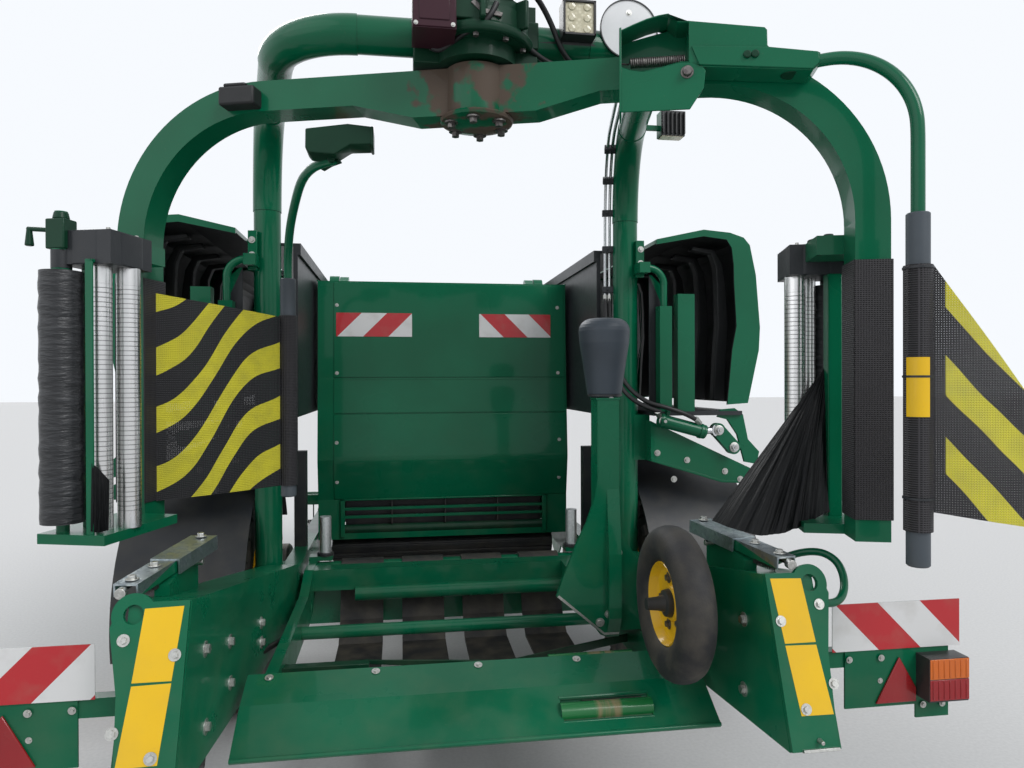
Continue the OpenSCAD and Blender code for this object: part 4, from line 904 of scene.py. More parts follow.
# %% Bent rods and hanging tubes
SWING, STRAIGHT, BEND = math.radians(-24.8), 0.082, 0.240
swung = Vector((math.cos(SWING), math.sin(SWING), 0))
right_rod = [PIVOT, PIVOT + swung * STRAIGHT * 0.5]
for degrees in range(0, 91, 10):
    turn = math.radians(degrees)
    drop = Vector((0, 0, BEND * (math.cos(turn) - 1)))
    right_rod.append(PIVOT + swung * (STRAIGHT + BEND * math.sin(turn)) + drop)
right_rod += [(*TUBES["right"][:2], z) for z in (2.22, 2.08)]
left_tube = UNIT_PLACE["left"] @ Vector(TUBES["left"])
left_rod = [(-0.470, -2.775, 2.402), (-0.515, -2.725, 2.405), (-0.563, -2.660, 2.400), (-0.604, -2.580, 2.378),
            (-0.639, -2.480, 2.325), (-0.671, -2.390, 2.250), (-0.690, -2.320, 2.155),
            (left_tube.x, left_tube.y, 2.10), (left_tube.x, left_tube.y, 2.040)]
pipe("guard_rod_right", [right_rod], 0.018, "rotor", green_enamel, place=ROTOR, sides=5)
pipe("guard_rod_left", [left_rod], 0.0165, "rotor", green_enamel, sides=5)
for word, low, top in (("left", 1.190, 2.060), ("right", 1.150, 2.095)):
    profile = [(low, 0.0), (low, 0.026), (low + 0.004, TUBE_RADIUS), (top - 0.003, TUBE_RADIUS), (top, 0.027),
               (top, 0.0)]
    assemble(f"guard_tube_{word}", "rotor", pipe_plastic, [(add_turned, profile, TUBES[word], UP, 40)],
             place=UNIT_PLACE[word])
print("safety arms hung")

# %% Gear housings, caps and the roll holder
def on_roll(z):
    """A point on the axis of the film roll."""
    return (*ROLL_SPOT[:2], z)


for word, place in UNIT_PLACE.items():
    head = bmesh.new()
    add_block(head, (1.019, 0.198, 1.999), (1.196, 0.391, 2.101))
    upright = [edge for edge in head.edges if abs(edge.verts[0].co.z - edge.verts[1].co.z) > 0.05]
    bmesh.ops.bevel(head, geom=upright, offset=0.055, segments=8, profile=0.5, affect="EDGES", material=-1)
    add_rod(head, on_roll(1.985), on_roll(2.046), 0.0285)
    finish_piece(f"unit_head_{word}", head, "rotor", black_plastic, bevel=0.004, place=place)
    spots = [(x, y, 2.101) for x, y in ((1.05, 0.23), (1.16, 0.235), (1.05, 0.36), (1.12, 0.30))]
    bolts(f"unit_head_bolts_{word}", spots, UP, "rotor", radius=0.006, height=0.010, place=place)
    assemble(f"unit_bar_{word}", "rotor", green_enamel, [
        (add_block, (1.070, 0.397, 1.199), (1.094, 0.404, 2.012)),
        (add_block, (1.070, 0.370, 2.003), (1.094, 0.404, 2.012)),
    ], bevel=0.0015, place=place)
    assemble(f"roll_collars_{word}", "rotor", dull_steel, [
        (add_turned, [(z, 0.019), (z, 0.024), (z + 0.006, 0.027), (z + 0.012, 0.024), (z + 0.012, 0.019)],
         ROLL_SPOT, UP, 24) for z in (1.984, 2.000)], place=place)

assemble("roll_holder_left", "rotor", shade_darkened_green, [
    (add_block, (1.160, 0.350, 2.045), (1.222, 0.406, 2.135)),
    (add_rod, on_roll(2.135), on_roll(2.158), 0.024, 0.019),
    (add_rod, (1.222, 0.378, 2.105), (1.305, 0.378, 2.112), 0.007),
    (add_rod, (1.298, 0.378, 2.116), (1.298, 0.378, 2.060), 0.007, 0.013),
], bevel=0.004, place=UNIT_PLACE["left"])
assemble("roll_cap_right", "rotor", black_plastic, [
    (add_turned, [(2.046, 0.0), (2.046, 0.036), (2.088, 0.036), (2.096, 0.028), (2.132, 0.028), (2.134, 0.040),
                  (2.146, 0.040), (2.152, 0.030), (2.152, 0.0)], ROLL_SPOT, UP, 32),
    (add_rod, on_roll(2.146), on_roll(2.164), 0.016),
], bevel=0.002, place=ROTOR)
pipe("unit_hoses_right", [
    [(1.185, 0.350, 2.110), (1.150, 0.300, 2.125), (1.110, 0.235, 2.118), (1.085, 0.200, 2.105)],
    [(1.192, 0.345, 2.090), (1.205, 0.290, 2.085), (1.215, 0.215, 2.100), (1.212, 0.190, 2.060),
     (1.206, 0.186, 1.990)],
], 0.010, "rotor", hose_rubber, place=ROTOR)
assemble("unit_profile_right", "rotor", green_enamel, [
    (add_block, (1.140, 0.196, 1.199), (1.148, 0.252, 2.000)),
    (add_block, (1.140, 0.196, 1.199), (1.184, 0.204, 2.000)),
], bevel=0.002, place=ROTOR)
print("film units dressed")

# %% [markdown]
# ## Film rolls
# A roll of black stretch film is glossy and slightly uneven, with fine wrinkles that slant up round it where
# the layers overlap. The roll is a lathe shape pushed in and out a little, and the finish adds the wrinkles,
# with a painted highlight on their crests.

# %% Wrinkled film
def wrinkled(name, tone, pale, roughness, scale, stretch, strength, gloss=0.45, on_cloth=False):
    """Film with fine creases, paler on their crests as a painted highlight; on_cloth makes them follow the sheet's
    own map.
    """
    film = Finish(name, Specular_IOR_Level=gloss)
    source = film.cloth() if on_cloth else film.place()
    lie = film.add("ShaderNodeMapping", {"Vector": source, "Scale": stretch, "Rotation": (0.55, 0.35, 0.0)})
    folds = film.add("ShaderNodeTexNoise", {"Vector": lie, "Scale": scale, "Detail": 6.0})
    # painted highlight: the crests of the folds take the pale colour
    film.feed("Base Color", film.mix(folds.ramp(0.50, 0.75), tone, pale))
    film.feed("Roughness", folds * 0.22 + roughness)
    film.bump(folds, strength, 0.010)
    return film.material


film_black = wrinkled("film_black", colour(0.012, 0.013, 0.015), colour(0.034, 0.036, 0.040), 0.26, 10.0,
                      (2.0, 2.0, 9.0), 0.55)
# painted shade: the loose film is the roll's film with a darker tone and a dimmer fold highlight
film_loose = wrinkled("film_loose", colour(0.003, 0.0035, 0.004), colour(0.010, 0.011, 0.013), 0.30, 9.0,
                      (9.0, 1.0, 1.0), 0.45, gloss=0.18, on_cloth=True)
ROLL_RADIUS, CORE_RADIUS, WAVES = 0.0615, 0.019, 40


def roll_profile():
    """A roll's outline, pushed in and out a little by two waves that don't fit together."""
    profile = [(FILM_LOW, CORE_RADIUS), (FILM_LOW, ROLL_RADIUS - 0.002)]
    for number in range(1, WAVES):
        wave = 0.0012 * math.sin(number * 1.7) + 0.0008 * math.sin(number * 4.1 + 1.0)
        profile.append((FILM_LOW + (FILM_TOP - FILM_LOW) * number / WAVES, ROLL_RADIUS - 0.0012 + wave))
    return profile + [(FILM_TOP, ROLL_RADIUS - 0.002), (FILM_TOP, CORE_RADIUS)]


for word, place in UNIT_PLACE.items():
    piece = assemble(f"stretch_film_{word}", "rotor", film_black, [(add_turned, roll_profile(), ROLL_SPOT, UP, 40)],
                     place=place)
    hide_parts(f"film_roll_{word}")
print("film rolls wrapped")

# %% [markdown]
# ## Safety nets
# Nets with slanting yellow bands close the gap between each leg and the tube that trips the rotor's stop.
# Each net is one thin sheet with its own map in metres: the bands and the weave are drawn on that map, so
# they bend with the cloth. The holes of the weave are real gaps in the finish, made with its alpha.

# %% Net finish
NET_HOLE, SLEEVE_HOLE = 0.0065, 0.006


def netting(name, lean, start, period=0.205, fold=0.43, fold_depth=0.045, open_share=0.20, plain_edge=0.0):
    """Woven net: bands that rise (lean 1) or fall (lean -1) to the right with a fold's sway, and square holes."""
    net = Finish(name, Roughness=0.55, Specular_IOR_Level=0.25)
    across, height = net.split(net.cloth())[:2]
    sway = net.noise(4.0, 1.0) * 0.05 + (across * (2 * math.pi / fold)).math("SINE") * fold_depth
    band = (((height - across * lean + sway + start) / period).fraction() < 0.46) * (across > plain_edge)
    dirt = net.noise(20.0, 5.0).ramp(0.4, 0.8) * 0.35
    yellow = net.mix(dirt, colour(0.55, 0.50, 0.03), colour(0.16, 0.15, 0.04))
    net.feed("Base Color", net.mix(band, colour(0.013, 0.013, 0.015), yellow))
    opening = ((across / NET_HOLE).fraction() < open_share) * ((height / NET_HOLE).fraction() < open_share)
    net.feed("Alpha", 1.0 - opening)
    threads = (across * (2 * math.pi / NET_HOLE)).math("SINE") + (height * (2 * math.pi / NET_HOLE)).math("SINE")
    net.bump(threads, 0.35, FINE_DEPTH)
    return net.material


def plain_net(name):
    """Black net of the sleeves: fine rings across the tube, with a painted highlight on the threads."""
    net = Finish(name, Roughness=0.5, Specular_IOR_Level=0.3)
    across, along, height = net.split(net.place())
    rings = (height * (2 * math.pi / SLEEVE_HOLE)).math("SINE")
    columns = ((across + along * 0.6) * (2 * math.pi / SLEEVE_HOLE)).math("SINE")
    grid = rings.math("MAXIMUM", columns)
    # painted highlight: the threads of the grid are paler than the near-black gaps
    net.feed("Base Color", net.mix(grid.ramp(0.0, 0.9), colour(0.004, 0.004, 0.005), colour(0.038, 0.036, 0.040)))
    net.bump(grid, 0.6, FINE_DEPTH)
    return net.material


sleeve_net = plain_net("sleeve_net")

# %% Net panels
NET_ZERO = 1.290


def net_sheet(name, corners, columns, rows, material, bulge):
    """A sheet between four corners: low inner, low outer, top outer, top inner, with a shallow belly."""
    low_in, low_out, top_out, top_in = (Vector(corner) for corner in corners)
    width, height = (low_out - low_in).length, (top_in - low_in).length
    normal = (low_out - low_in).cross(top_in - low_in).normalized()
    mesh = bmesh.new()
    grid = bmesh.ops.create_grid(mesh, x_segments=columns, y_segments=rows, size=0.5)["verts"]
    cloth = mesh.loops.layers.uv.new("cloth")
    flat = {vertex: (vertex.co.x + 0.5, vertex.co.y + 0.5) for vertex in grid}
    for vertex, (u, v) in flat.items():
        spot = low_in.lerp(low_out, u).lerp(top_in.lerp(top_out, u), v)
        belly = math.sin(math.pi * u) * (0.6 + 0.4 * math.sin(math.pi * v)) + 0.25 * math.sin(5.0 * v + 3.0 * u)
        vertex.co = spot + normal * bulge * belly * math.sin(math.pi * u)
    for face in mesh.faces:
        for loop in face.loops:
            u, v = flat[loop.vert]
            loop[cloth].uv = (u * width, loop.vert.co.z - NET_ZERO)
    return finish_piece(name, mesh, "rotor", material, smooth=180), (width, height)


def rotor_point(x, y, z):
    return ROTOR @ Vector((x, y, z))


left_inner, left_outer = (-1.147, 0.0), (-0.853 - 0.021, 0.419 - 0.030)
left_net, left_flat = net_sheet(
    "striped_net_left",
    [rotor_point(*left_inner, 1.232), rotor_point(*left_outer, 1.236), rotor_point(*left_outer, 1.906),
     rotor_point(*left_inner, 1.960)],
    26, 34, netting("net_bands_left", 1, 0.003, open_share=0.16), 0.010,
)
print("left net", [round(v, 3) for v in left_flat])

AWAY_TURN = math.radians(-20)


def away(distance, height):
    """A point beside the right tube, where its net hangs off to the right."""
    tube = ROTOR @ Vector(TUBES["right"])
    return (tube.x + math.cos(AWAY_TURN) * distance, tube.y + math.sin(AWAY_TURN) * distance, height)


right_net, right_flat = net_sheet(
    "striped_net_right",
    [away(0.037, 1.295), away(0.271, 1.262), away(0.271, 1.598), away(0.037, 1.958)],
    22, 34,
    netting("net_bands_right", -1.05, 0.06, period=0.222, fold=0.9, fold_depth=0.015, plain_edge=0.030), 0.008,
)
print("right net", [round(v, 3) for v in right_flat])

# %% Sleeves round the legs and tubes
INNER_X, INNER_Y, OUTER_X, OUTER_Y = 0.051, 0.056, 0.0555, 0.0605
SLEEVE_WALLS = ((-OUTER_X, -OUTER_Y, OUTER_X, -INNER_Y), (-OUTER_X, -OUTER_Y, -INNER_X, OUTER_Y),
                (INNER_X, -OUTER_Y, OUTER_X, OUTER_Y))
NETS = (("left", left_net, left_flat, "curtain_left", "stretched", 1.236, 1.912),
        ("right", right_net, right_flat, "slack_net_right", "hung", 1.245, 1.955))
for word, panel, flat, node, held, low, top in NETS:
    leg_sleeve = assemble(f"leg_net_{word}", "rotor", sleeve_net, [
        (add_block, (LEG_RADIUS + x0, y0, 1.235), (LEG_RADIUS + x1, y1, 2.005)) for x0, y0, x1, y1 in SLEEVE_WALLS
    ], bevel=0.002, place=UNIT_PLACE[word])
    tube_sleeve = assemble(f"tube_net_{word}", "rotor", sleeve_net, [
        (add_turned, ring(low, top, 0.0303, 0.0362)[:4], TUBES[word], UP, 32)], place=UNIT_PLACE[word])
    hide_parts(node)
    if word == "right":
        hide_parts("curtain_right")
    area = sum(face.area for face in panel.data.polygons)
    max(flat[0], area / flat[1])
    print(panel.name, "cloth area", round(area, 3))

# %% [markdown]
# ## Loose film
# The machine was parked with film still threaded: on the right unit it fans out from the rollers down to the
# film cutter, and on the left unit a gathered strand hangs at the rollers. Both are thin crumpled sheets. Each
# is a grid that is laid as a fan between two edges, with creases that run along the fan's rays.

# %% Lay a fan of film
def film_fan(name, top, bottom, rays, rows, crease):
    """A fan between two edges given by points; creases follow the rays and grow towards the lower edge."""
    def along(edge, share):
        place = share * (len(edge) - 1)
        first = min(int(place), len(edge) - 2)
        return edge[first].lerp(edge[first + 1], place - first)

    top, bottom = [Vector(p) for p in top], [Vector(p) for p in bottom]
    facing = (bottom[-1] - bottom[0]).cross(top[0] - bottom[0]).normalized()
    mesh = bmesh.new()
    grid = bmesh.ops.create_grid(mesh, x_segments=rays, y_segments=rows, size=0.5)["verts"]
    cloth = mesh.loops.layers.uv.new("cloth")
    flat = {vertex: (vertex.co.x + 0.5, vertex.co.y + 0.5) for vertex in grid}
    for vertex, (u, v) in flat.items():
        spot = along(bottom, u).lerp(along(top, u), v)
        wave = math.sin(u * 61.0 + 2.0 * math.sin(u * 17.0)) * 0.6 + math.sin(u * 143.0 + 5.0 * v) * 0.3
        belly = math.sin(math.pi * v) * 0.9 * math.sin(math.pi * u)
        lift = crease * wave * (1.0 - v) ** 0.6 * min(1.0, 6 * u, 6 * (1 - u)) + crease * 2.0 * belly
        vertex.co = spot + facing * lift
    for face in mesh.faces:
        for loop in face.loops:
            u, v = flat[loop.vert]
            loop[cloth].uv = (u * 0.75, v * 0.6)
    piece = finish_piece(name, mesh, "rotor", film_loose, smooth=180)
    long = max((along(top, u) - along(bottom, u)).length for u in (0.0, 0.5, 1.0)) * 1.02


film_fan(
    "film_tail_right",
    [(1.176, -3.050, 1.712), (1.170, -3.048, 1.700), (1.164, -3.046, 1.690)],
    [(1.172, -3.088, 1.216), (1.100, -3.120, 1.206), (1.020, -3.165, 1.185), (0.930, -3.185, 1.166),
     (0.862, -3.172, 1.160), (0.812, -3.080, 1.168), (0.788, -2.990, 1.176)],
    70, 36, 0.010,
)
film_fan(
    "film_tail_left",
    [(-1.145, -3.024, 1.412), (-1.130, -3.015, 1.395), (-1.108, -2.992, 1.356)],
    [(-1.148, -3.026, 1.212), (-1.130, -3.020, 1.206), (-1.110, -2.995, 1.208)],
    40, 24, 0.005,
)

# %% [markdown]
# ## The head of the rotor
# The drive head hangs in the middle of the arch: a casting with bolted flanges, a small control box, a bright
# work lamp with six cells, and a blank white disc. Under the beam six bolts hold the hub's cap.

# %% Flanges and bolts of the drive head
CENTRE = (0, -2.950, 0)
ribs = [Matrix.Translation(CENTRE) @ Matrix.Rotation(math.radians(angle), 4, "Z") for angle in range(0, 360, 45)]
assemble("head_casting", "root", shade_darkened_green, [
    (add_turned, [(2.712, 0.100), (2.712, 0.178), (2.722, 0.184), (2.738, 0.184), (2.744, 0.170), (2.800, 0.168),
                  (2.830, 0.150), (2.830, 0.100)], CENTRE, UP, 48),
    *((add_block, (0.160, -0.008, 2.740), (0.205, 0.008, 2.828), turn) for turn in ribs),
    (add_block, (-0.205, -2.990, 2.660), (-0.120, -2.900, 2.716)),
    (add_block, (0.120, -2.985, 2.664), (0.196, -2.880, 2.722)),
    (add_block, (-0.085, -3.118, 2.748), (0.020, -3.095, 2.862)),
], bevel=0.004)
bolts("head_flange_bolts", circle((0, -2.950, 2.716), 0.156, 10, 0.2), DOWN, "root", radius=0.010, height=0.016,
      material=dull_steel)
assemble("head_motor", "root", black_steel, [
    (add_turned, [(2.829, 0.0), (2.829, 0.060), (2.850, 0.060), (2.852, 0.050), (2.888, 0.050)], (0.045, -3.060, 0),
     UP, 32),
    (add_turned, [(2.829, 0.0), (2.829, 0.024), (2.905, 0.022), (2.905, 0.0)], (-0.030, -3.072, 0), UP, 20),
])
STRAP = ((-0.035, 2.795), (0.000, 2.765), (0.060, 2.757), (0.064, 2.770), (0.006, 2.780), (-0.022, 2.806))
assemble("head_strap", "root", dull_steel, [(add_plate, at_y(-3.1215, STRAP), (0, 0.020, 0))], bevel=0.002)
pipe("head_hoses", [
    [(-0.150, -3.010, 2.700), (-0.120, -2.995, 2.690), (-0.060, -3.090, 2.712), (0.020, -3.130, 2.735),
     (0.045, -3.115, 2.800)],
    [(0.060, -3.110, 2.870), (0.150, -3.080, 2.880), (0.230, -2.990, 2.840), (0.300, -2.950, 2.700),
     (0.360, -2.900, 2.712)],
    [(0.160, -3.000, 2.725), (0.230, -2.960, 2.690), (0.330, -2.930, 2.700), (0.430, -2.905, 2.716)],
], 0.009, "root", hose_rubber)
assemble("hub_cap", "rotor", worn_green_enamel, [
    (add_turned, [(2.478, 0.0), (2.478, 0.075), (2.486, 0.116), (2.494, 0.120), (2.4995, 0.116), (2.4995, 0.0)],
     CENTRE, UP, 48)])
bolts("hub_cap_bolts", circle((0, -2.950, 2.481), 0.088, 6, 0.3), DOWN, "rotor", radius=0.013, height=0.020,
      material=dull_steel)

# %% Control box, lamp and the cells of its face
assemble("control_box_lid", "root", red_brown_box, [
    (add_block, (-0.208, -3.1540, 2.698), (-0.082, -3.1495, 2.826)),
    (add_block, (-0.190, -3.1575, 2.718), (-0.100, -3.1535, 2.808)),
], bevel=0.003)
spots = [(x, -3.154, z) for x in (-0.200, -0.090) for z in (2.706, 2.818)]
bolts("control_box_screws", spots, REARWARD, "root", radius=0.004, height=0.004)
lamp_glass = Finish("lamp_glass", Roughness=0.12, Specular_IOR_Level=0.5, Coat_Weight=0.4)
cells = lamp_glass.add("ShaderNodeTexVoronoi", {"Vector": lamp_glass.place(), "Scale": 90.0})
glow, frosted = colour(0.72, 0.68, 0.52), colour(0.52, 0.48, 0.34)
lamp_glass.feed("Base Color", lamp_glass.mix(cells.ramp(0.1, 0.6), glow, frosted))
lamp_body = moulded("lamp_body", colour(0.014, 0.014, 0.015), 0.35, 120.0, 0.1, dust=0.1)


def work_lamp(name, middle, width, height, front, columns, rows):
    """A square lamp's rim, its pale face and its round cells, looking to the rear."""
    x, z = middle

    def bar(left, right, low, top, rear=0.010, fore=0.002):
        """A block of the lamp, its sides told as shares of the half width and height."""
        return (add_block, (x + width * left, front - rear, z + height * low),
                (x + width * right, front + fore, z + height * top))

    assemble(f"{name}_rim", "root", lamp_body, [
        bar(-1, 1, -1, -0.86), bar(-1, 1, 0.86, 1), bar(-1, -0.86, -1, 1), bar(0.86, 1, -1, 1)], bevel=0.0015)
    spots = [Vector((x + width * 0.62 * (2 * column / max(1, columns - 1) - 1) * 0.75, front - 0.003,
                     z + height * 0.62 * (2 * row / max(1, rows - 1) - 1)))
             for column in range(columns) for row in range(rows)]
    cell = [(0.0, width * 0.24), (0.003, width * 0.20), (0.005, 0.0)]
    assemble(f"{name}_glass", "root", lamp_glass.material, [
        bar(-0.87, 0.87, -0.87, 0.87, 0.003, 0.001), *((add_turned, cell, spot, REARWARD, 16) for spot in spots)])


work_lamp("arch_lamp", (0.333, 2.8325), 0.055, 0.0575, -2.9942, 2, 3)
assemble("side_lamp_glass", "root", lamp_glass.material, [
    (add_block, (0.905, -2.206, 2.7362), (1.005, -2.154, 2.7404))], bevel=0.001)
fins = bmesh.new()
for step in range(6):
    add_block(fins, (0.284 + step * 0.0175, -2.9400, 2.778), (0.288 + step * 0.0175, -2.918, 2.888))
    add_block(fins, (0.904 + step * 0.0196, -2.224, 2.746), (0.909 + step * 0.0196, -2.209, 2.844))
finish_piece("lamp_fins", fins, "root", lamp_body)
bolts("disc_bolts", [(0.515, -2.951, z) for z in (2.775, 2.885)], REARWARD, "root", radius=0.006, height=0.005)
assemble("disc_rim", "root", black_plastic, [
    (add_turned, [(-0.0005, 0.0965), (-0.0035, 0.0965), (-0.0035, 0.1002), (0.0045, 0.1002), (0.0045, 0.0965),
                  (-0.0005, 0.0965)], (0.515, -2.9510, 2.830), (0, 1, 0), 64)])

# %% [markdown]
# ## Pipes up the right column
# Two hydraulic lines climb the right column and follow the arch's bend, held by black clamps, and hoses run
# over the sloping beam to its cylinder. A line that follows a tube is the tube's own path moved sideways.

# %% Lines along the column and the arch
FOOT_Z, ARCH_BEND = 2.430, 0.350
ARCH_TURN = Matrix.Translation((0.854, -1.820, FOOT_Z)) @ Matrix.Rotation(math.radians(-12), 4, "Z")


def in_bend(offset, bend):
    """A point beside the arch's bend, at an angle from its foot."""
    return ARCH_TURN @ Vector((offset, -ARCH_BEND + ARCH_BEND * math.cos(bend), ARCH_BEND * math.sin(bend)))


def beside_arch(offset, low):
    """The column's path, moved sideways by an offset, from a height up into the bend."""
    route = [ARCH_TURN @ Vector((offset, 0.012, low - FOOT_Z + step * (FOOT_Z - low) / 4)) for step in range(5)]
    for degrees in range(10, 91, 10):
        route.append(in_bend(offset, math.radians(degrees)))
    return route + [ARCH_TURN @ Vector((offset, -ARCH_BEND - reach, ARCH_BEND)) for reach in (0.15, 0.30, 0.46)]


pipe("column_lines", [beside_arch(-0.076, 2.05), beside_arch(-0.098, 2.05)], 0.0075, "root", chrome)
pipe("column_hoses", [
    [(0.779, -1.806, 2.055), (0.778, -1.815, 1.95), (0.782, -1.835, 1.80), (0.815, -1.900, 1.640),
     (0.900, -1.985, 1.545), (1.000, -2.020, 1.520), (1.120, -2.022, 1.478), (1.165, -2.000, 1.448)],
    [(0.757, -1.802, 2.055), (0.756, -1.810, 1.95), (0.760, -1.835, 1.78), (0.800, -1.905, 1.610),
     (0.880, -1.990, 1.525), (0.965, -2.022, 1.500)],
], 0.011, "root", hose_rubber)
clamps = bmesh.new()
seats = [(ARCH_TURN @ Vector((-0.086, 0.004, height - FOOT_Z)), 0) for height in (2.10, 2.30)]
seats += [(in_bend(-0.086, math.radians(degrees)), math.radians(degrees)) for degrees in (8, 34, 62)]
for spot, tip in seats:
    turn = Matrix.Translation(spot) @ Matrix.Rotation(math.radians(-12), 4, "Z") @ Matrix.Rotation(tip, 4, "X")
    add_block(clamps, (-0.027, -0.015, -0.016), (0.031, 0.015, 0.016), turn=turn)
    add_rod(clamps, spot, turn @ Vector((0.0, -0.022, 0.0)), 0.006, sides=6)
finish_piece("line_clamps", clamps, "root", black_plastic, bevel=0.003)
assemble("line_fittings", "root", bolt_steel, [
    (add_rod, start, end, radius, None, 6) for start, end, radius in (
        ((0.7795, -1.8055, 2.030), (0.7795, -1.8055, 2.075), 0.0125),
        ((0.758, -1.801, 2.030), (0.758, -1.801, 2.075), 0.0125),
        ((1.140, -2.018, 1.466), (1.168, -1.995, 1.442), 0.014),
        ((0.948, -2.022, 1.503), (0.968, -1.990, 1.480), 0.014))])

# %% Cylinder, link and beam details on both sides
CYLINDER_FROM, CYLINDER_TO = Vector((0.968, -1.985, 1.461)), Vector((1.190, -1.985, 1.402))
along_cylinder = Vector((0.222, 0, -0.059)).normalized()
WASHER = [(0.0, 0.0), (0.0, 0.024), (0.004, 0.024), (0.0055, 0.020), (0.0055, 0.0)]
LIP = ((0.942, 1.262), (1.300, 1.152), (1.480, 1.142), (1.482, 1.150), (1.300, 1.162), (0.942, 1.274))
BEAM_BOLTS = ((1.122, 1.263), (1.055, 1.172), (1.316, 1.205), (0.972, 1.300), (1.395, 1.165))
MIRROR = {word: Matrix.Diagonal((side, 1, 1, 1)) for word, side in SIDES}
for word, side in SIDES:
    mirror = MIRROR[word]
    collars = bmesh.new()
    for share, thick in ((0.02, 0.0365), (0.90, 0.0365), (0.97, 0.034)):
        start = CYLINDER_FROM.lerp(CYLINDER_TO, share)
        add_rod(collars, start, start + along_cylinder * 0.016, thick)
    add_rod(collars, (1.008, -1.985, 1.478), (1.014, -1.985, 1.505), 0.013, sides=6)
    finish_piece(f"cylinder_collars_{word}", collars, "root", green_enamel, bevel=0.002, place=mirror)
    washers = bmesh.new()
    for x, z in ((1.262, 1.409), (1.339, 1.326), (0.985, 1.456)):
        add_turned(washers, WASHER, (x, -2.0025, z), REARWARD, 28)
        add_rod(washers, (x, -2.024, z), (x, -2.029, z), 0.0085, sides=6)
    finish_piece(f"link_washers_{word}", washers, "root", bolt_steel, place=mirror)
    spots = [(x * side, -1.951, z) for x, z in BEAM_BOLTS]
    bolts(f"beam_bolts_{word}", spots, REARWARD, "root", height=0.009)
    assemble(f"beam_lip_{word}", "root", green_enamel, [(add_plate, at_y(-1.9525, LIP), (0, 0.004, 0))], bevel=0.001,
             place=mirror)
    assemble(f"hoop_bracket_{word}", "root", green_enamel, [
        (add_block, (0.886, -1.900, 2.150), (0.926, -1.894, 2.330)),
        (add_block, (0.886, -1.896, 2.150), (0.892, -1.835, 2.330)),
    ], bevel=0.002, place=mirror)
    spots = [(0.908 * side, -1.900, z) for z in (2.219, 2.287)]
    bolts(f"hoop_bracket_bolts_{word}", spots, REARWARD, "root", height=0.010)

# %% [markdown]
# ## Liners of the film stores
# Each store is lined with black plastic that is moulded into steps, so the rolls don't rattle. The liner is
# seen as a few tall curved ribs behind the posts, with a folded tongue under the lid.

# %% Moulded liners
LINER_RIB = ((1.366, 1.545), (1.380, 1.800), (1.388, 1.930), (1.376, 2.120), (1.360, 2.230), (1.318, 2.306),
             (1.200, 2.322), (1.192, 2.300), (1.296, 2.284), (1.320, 2.222), (1.326, 2.118), (1.330, 1.925),
             (1.318, 1.795), (1.306, 1.548))
RIB_PLACES = ((-1.84, 0.050), (-1.60, 0.055), (-1.30, 0.055), (-1.00, 0.055), (-0.72, 0.050))
for word, mirror in MIRROR.items():
    assemble(f"store_liner_{word}", f"store_cover_{word}", liner_plastic, [
        (add_plate, at_y(y, LINER_RIB), (0, thick, 0)) for y, thick in RIB_PLACES], bevel=0.006, place=mirror)
print("stores lined")

# %% [markdown]
# ## Bolts and fittings of the wrapping table
# Galvanised cutters are bolted to the side beams, a bowed tube guards the right end, and the beams' inner
# faces show the bolts that hold the table's bearings.

# %% Cutters, bows and beam fittings
CUTTER_SHIFT, TEETH, TOOTH = -0.041, 18, 0.0078
INNER_BOLTS = ((0.7435, -2.62, 0.790), (0.7435, -2.62, 0.720), (0.7615, -3.02, 0.865), (0.7615, -3.02, 0.740),
               (0.772, -3.26, 0.930), (0.772, -3.26, 0.720))
OUTER_BOLTS = ((0.900, -2.70, 0.800), (0.916, -3.05, 0.860), (0.928, -3.30, 0.900), (0.928, -3.30, 0.730))
GUARD_BOW = [(0.950, -3.350, 1.000), (1.010, -3.338, 0.985), (1.068, -3.305, 1.000), (1.098, -3.262, 1.045),
             (1.096, -3.222, 1.090), (1.060, -3.170, 1.108), (0.980, -3.120, 1.080), (0.905, -3.095, 1.030)]


def cutter_x(side, x):
    """The cutters stand a little left of where mirrored ones would, as the photograph shows them."""
    return x * side + CUTTER_SHIFT


